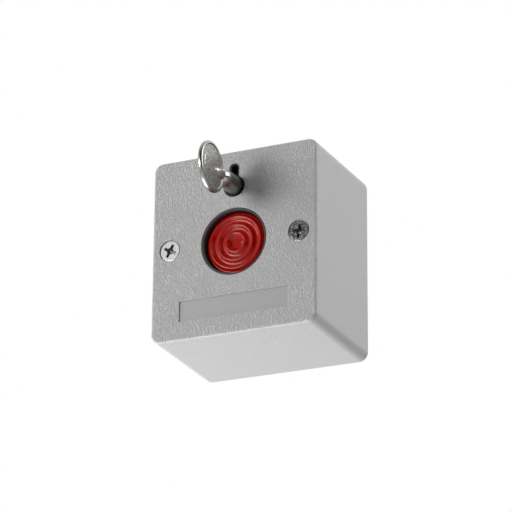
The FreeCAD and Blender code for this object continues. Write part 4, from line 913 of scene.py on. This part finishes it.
def stage_world():
    """White behind the part for the eye. Light and reflections get a soft glow instead, which is
    dim in front of the part."""
    world = bpy.data.worlds.new("studio")
    bpy.context.scene.world = world
    world.use_nodes = True
    tree = world.node_tree
    tree.nodes.clear()
    around = add(tree, "ShaderNodeTexCoord").outputs["Generated"]
    towards = add(tree, "ShaderNodeVectorMath", {1: Vector(DIM_SIDE).normalized()},
                  {0: around}, operation="DOT_PRODUCT")
    soft = add(tree, "ShaderNodeMapRange", {"From Min": DIM_FROM, "From Max": DIM_TO,
                                            "To Min": BRIGHT_WORLD, "To Max": DIM_WORLD},
               {"Value": towards.outputs["Value"]}, interpolation_type="SMOOTHSTEP")
    ray = add(tree, "ShaderNodeLightPath")
    seen = add(tree, "ShaderNodeMath", links={0: ray.outputs["Is Camera Ray"],
                                              1: ray.outputs["Is Transmission Ray"]},
               operation="MAXIMUM")
    level = add(tree, "ShaderNodeMix", {MIX_VALUE_HIGH: 1.0},
                {MIX_FACTOR: seen.outputs[0], MIX_VALUE_LOW: soft.outputs["Result"]})
    light = add(tree, "ShaderNodeBackground", {"Color": (1, 1, 1, 1)},
                {"Strength": level.outputs[0]})
    add(tree, "ShaderNodeOutputWorld", links={"Surface": light.outputs["Background"]})


def floor_paper():
    """Matt paper, white to the eye and to reflections, and grey to the light that it throws back,
    as if it ended close by."""
    material, tree, shader = new_material("paper_matt_white", {"Roughness": 0.9})
    ray = add(tree, "ShaderNodeLightPath")
    glossy = add(tree, "ShaderNodeMath", links={0: ray.outputs["Is Glossy Ray"],
                                                1: ray.outputs["Is Transmission Ray"]},
                 operation="MAXIMUM")
    seen = add(tree, "ShaderNodeMath", links={0: ray.outputs["Is Camera Ray"],
                                              1: glossy.outputs[0]}, operation="MAXIMUM")
    tint = add(tree, "ShaderNodeMix", {MIX_LOW: linear(PAPER_LIT), MIX_HIGH: linear(PAPER_SEEN)},
               {MIX_FACTOR: seen.outputs[0]}, data_type="RGBA")
    tree.links.new(tint.outputs[MIX_RESULT], shader.inputs["Base Color"])
    return material


def softbox(name, azimuth, elevation, distance, size, power):
    """A rectangular soft light that faces the part and that the camera doesn't see."""
    data = bpy.data.lights.new(name, "AREA")
    data.shape = "RECTANGLE"
    data.size = size[0]
    data.size_y = size[1]
    data.energy = power
    lamp = bpy.data.objects.new(name, data)
    bpy.context.scene.collection.objects.link(lamp)
    a = math.radians(azimuth)
    e = math.radians(elevation)
    away = Vector((-math.sin(a) * math.cos(e), -math.cos(a) * math.cos(e), math.sin(e)))
    lamp.location = Vector((0, FACE_Y, 0)) + away * distance
    lamp.rotation_euler = away.to_track_quat("Z", "Y").to_euler()
    lamp.visible_camera = False


class PANICBUTTON_OT_stage(bpy.types.Operator):
    """Set up the floor, the lights and the camera"""
    bl_idname = "panic_button.stage"
    bl_label = "Stage"

    def execute(self, context):
        studio = context.scene.panic_button_studio
        stage_world()
        floor = piece_from("floor", [(x * FLOOR_HALF, y * FLOOR_HALF, FLOOR_Z)
                                     for x, y in ((-1, -1), (1, -1), (1, 1), (-1, 1))],
                           [(0, 1, 2, 3)])
        floor.data.materials.append(floor_paper())
        for name, azimuth, elevation, distance, size in SOFTBOXES:
            softbox(f"softbox_{name}", azimuth, elevation, distance, size,
                    getattr(studio, f"{name}_power"))
        camera_data = bpy.data.cameras.new("camera")
        camera_data.lens = studio.lens
        camera = bpy.data.objects.new("camera", camera_data)
        context.scene.collection.objects.link(camera)
        turn = (Matrix.Rotation(studio.azimuth, 4, "Z")
                @ Matrix.Rotation(math.radians(90) + studio.rise, 4, "X")
                @ Matrix.Rotation(studio.roll, 4, "Z"))
        back = turn @ Vector((studio.aside, -studio.above, studio.distance, 1.0))
        camera.matrix_world = Matrix.Translation(Vector((0, FACE_Y, 0)) + back.to_3d()) @ turn
        context.scene.camera = camera
        context.scene.view_settings.view_transform = "Standard"
        return {"FINISHED"}


class PANICBUTTON_PT_panel(bpy.types.Panel):
    """Lists the steps that build the panic button"""
    bl_idname = "PANICBUTTON_PT_panel"
    bl_label = "Panic Button"
    bl_space_type = "VIEW_3D"
    bl_region_type = "UI"
    bl_category = "Panic Button"

    def draw(self, context):
        for operator in OPERATORS:
            self.layout.operator(operator.bl_idname)


GROUPS = (PanicButtonFinish, PanicButtonSizes, PanicButtonStudio)
OPERATORS = (PANICBUTTON_OT_mouldings, PANICBUTTON_OT_key, PANICBUTTON_OT_catch,
             PANICBUTTON_OT_screws, PANICBUTTON_OT_springs, PANICBUTTON_OT_circuit,
             PANICBUTTON_OT_stage)


def register():
    for item in GROUPS + OPERATORS + (PANICBUTTON_PT_panel,):
        bpy.utils.register_class(item)
    bpy.types.Scene.panic_button_finish = PointerProperty(type=PanicButtonFinish)
    bpy.types.Scene.panic_button_sizes = PointerProperty(type=PanicButtonSizes)
    bpy.types.Scene.panic_button_studio = PointerProperty(type=PanicButtonStudio)


def unregister():
    del bpy.types.Scene.panic_button_studio
    del bpy.types.Scene.panic_button_sizes
    del bpy.types.Scene.panic_button_finish
    for item in reversed(GROUPS + OPERATORS + (PANICBUTTON_PT_panel,)):
        bpy.utils.unregister_class(item)


def main():
    """Builds everything around the frame."""
    register()
    bpy.ops.panic_button.mouldings()
    bpy.ops.panic_button.key()
    bpy.ops.panic_button.catch()
    bpy.ops.panic_button.screws()
    bpy.ops.panic_button.springs()
    bpy.ops.panic_button.circuit()
    bpy.ops.panic_button.stage()


if __name__ == "__main__":
    main()
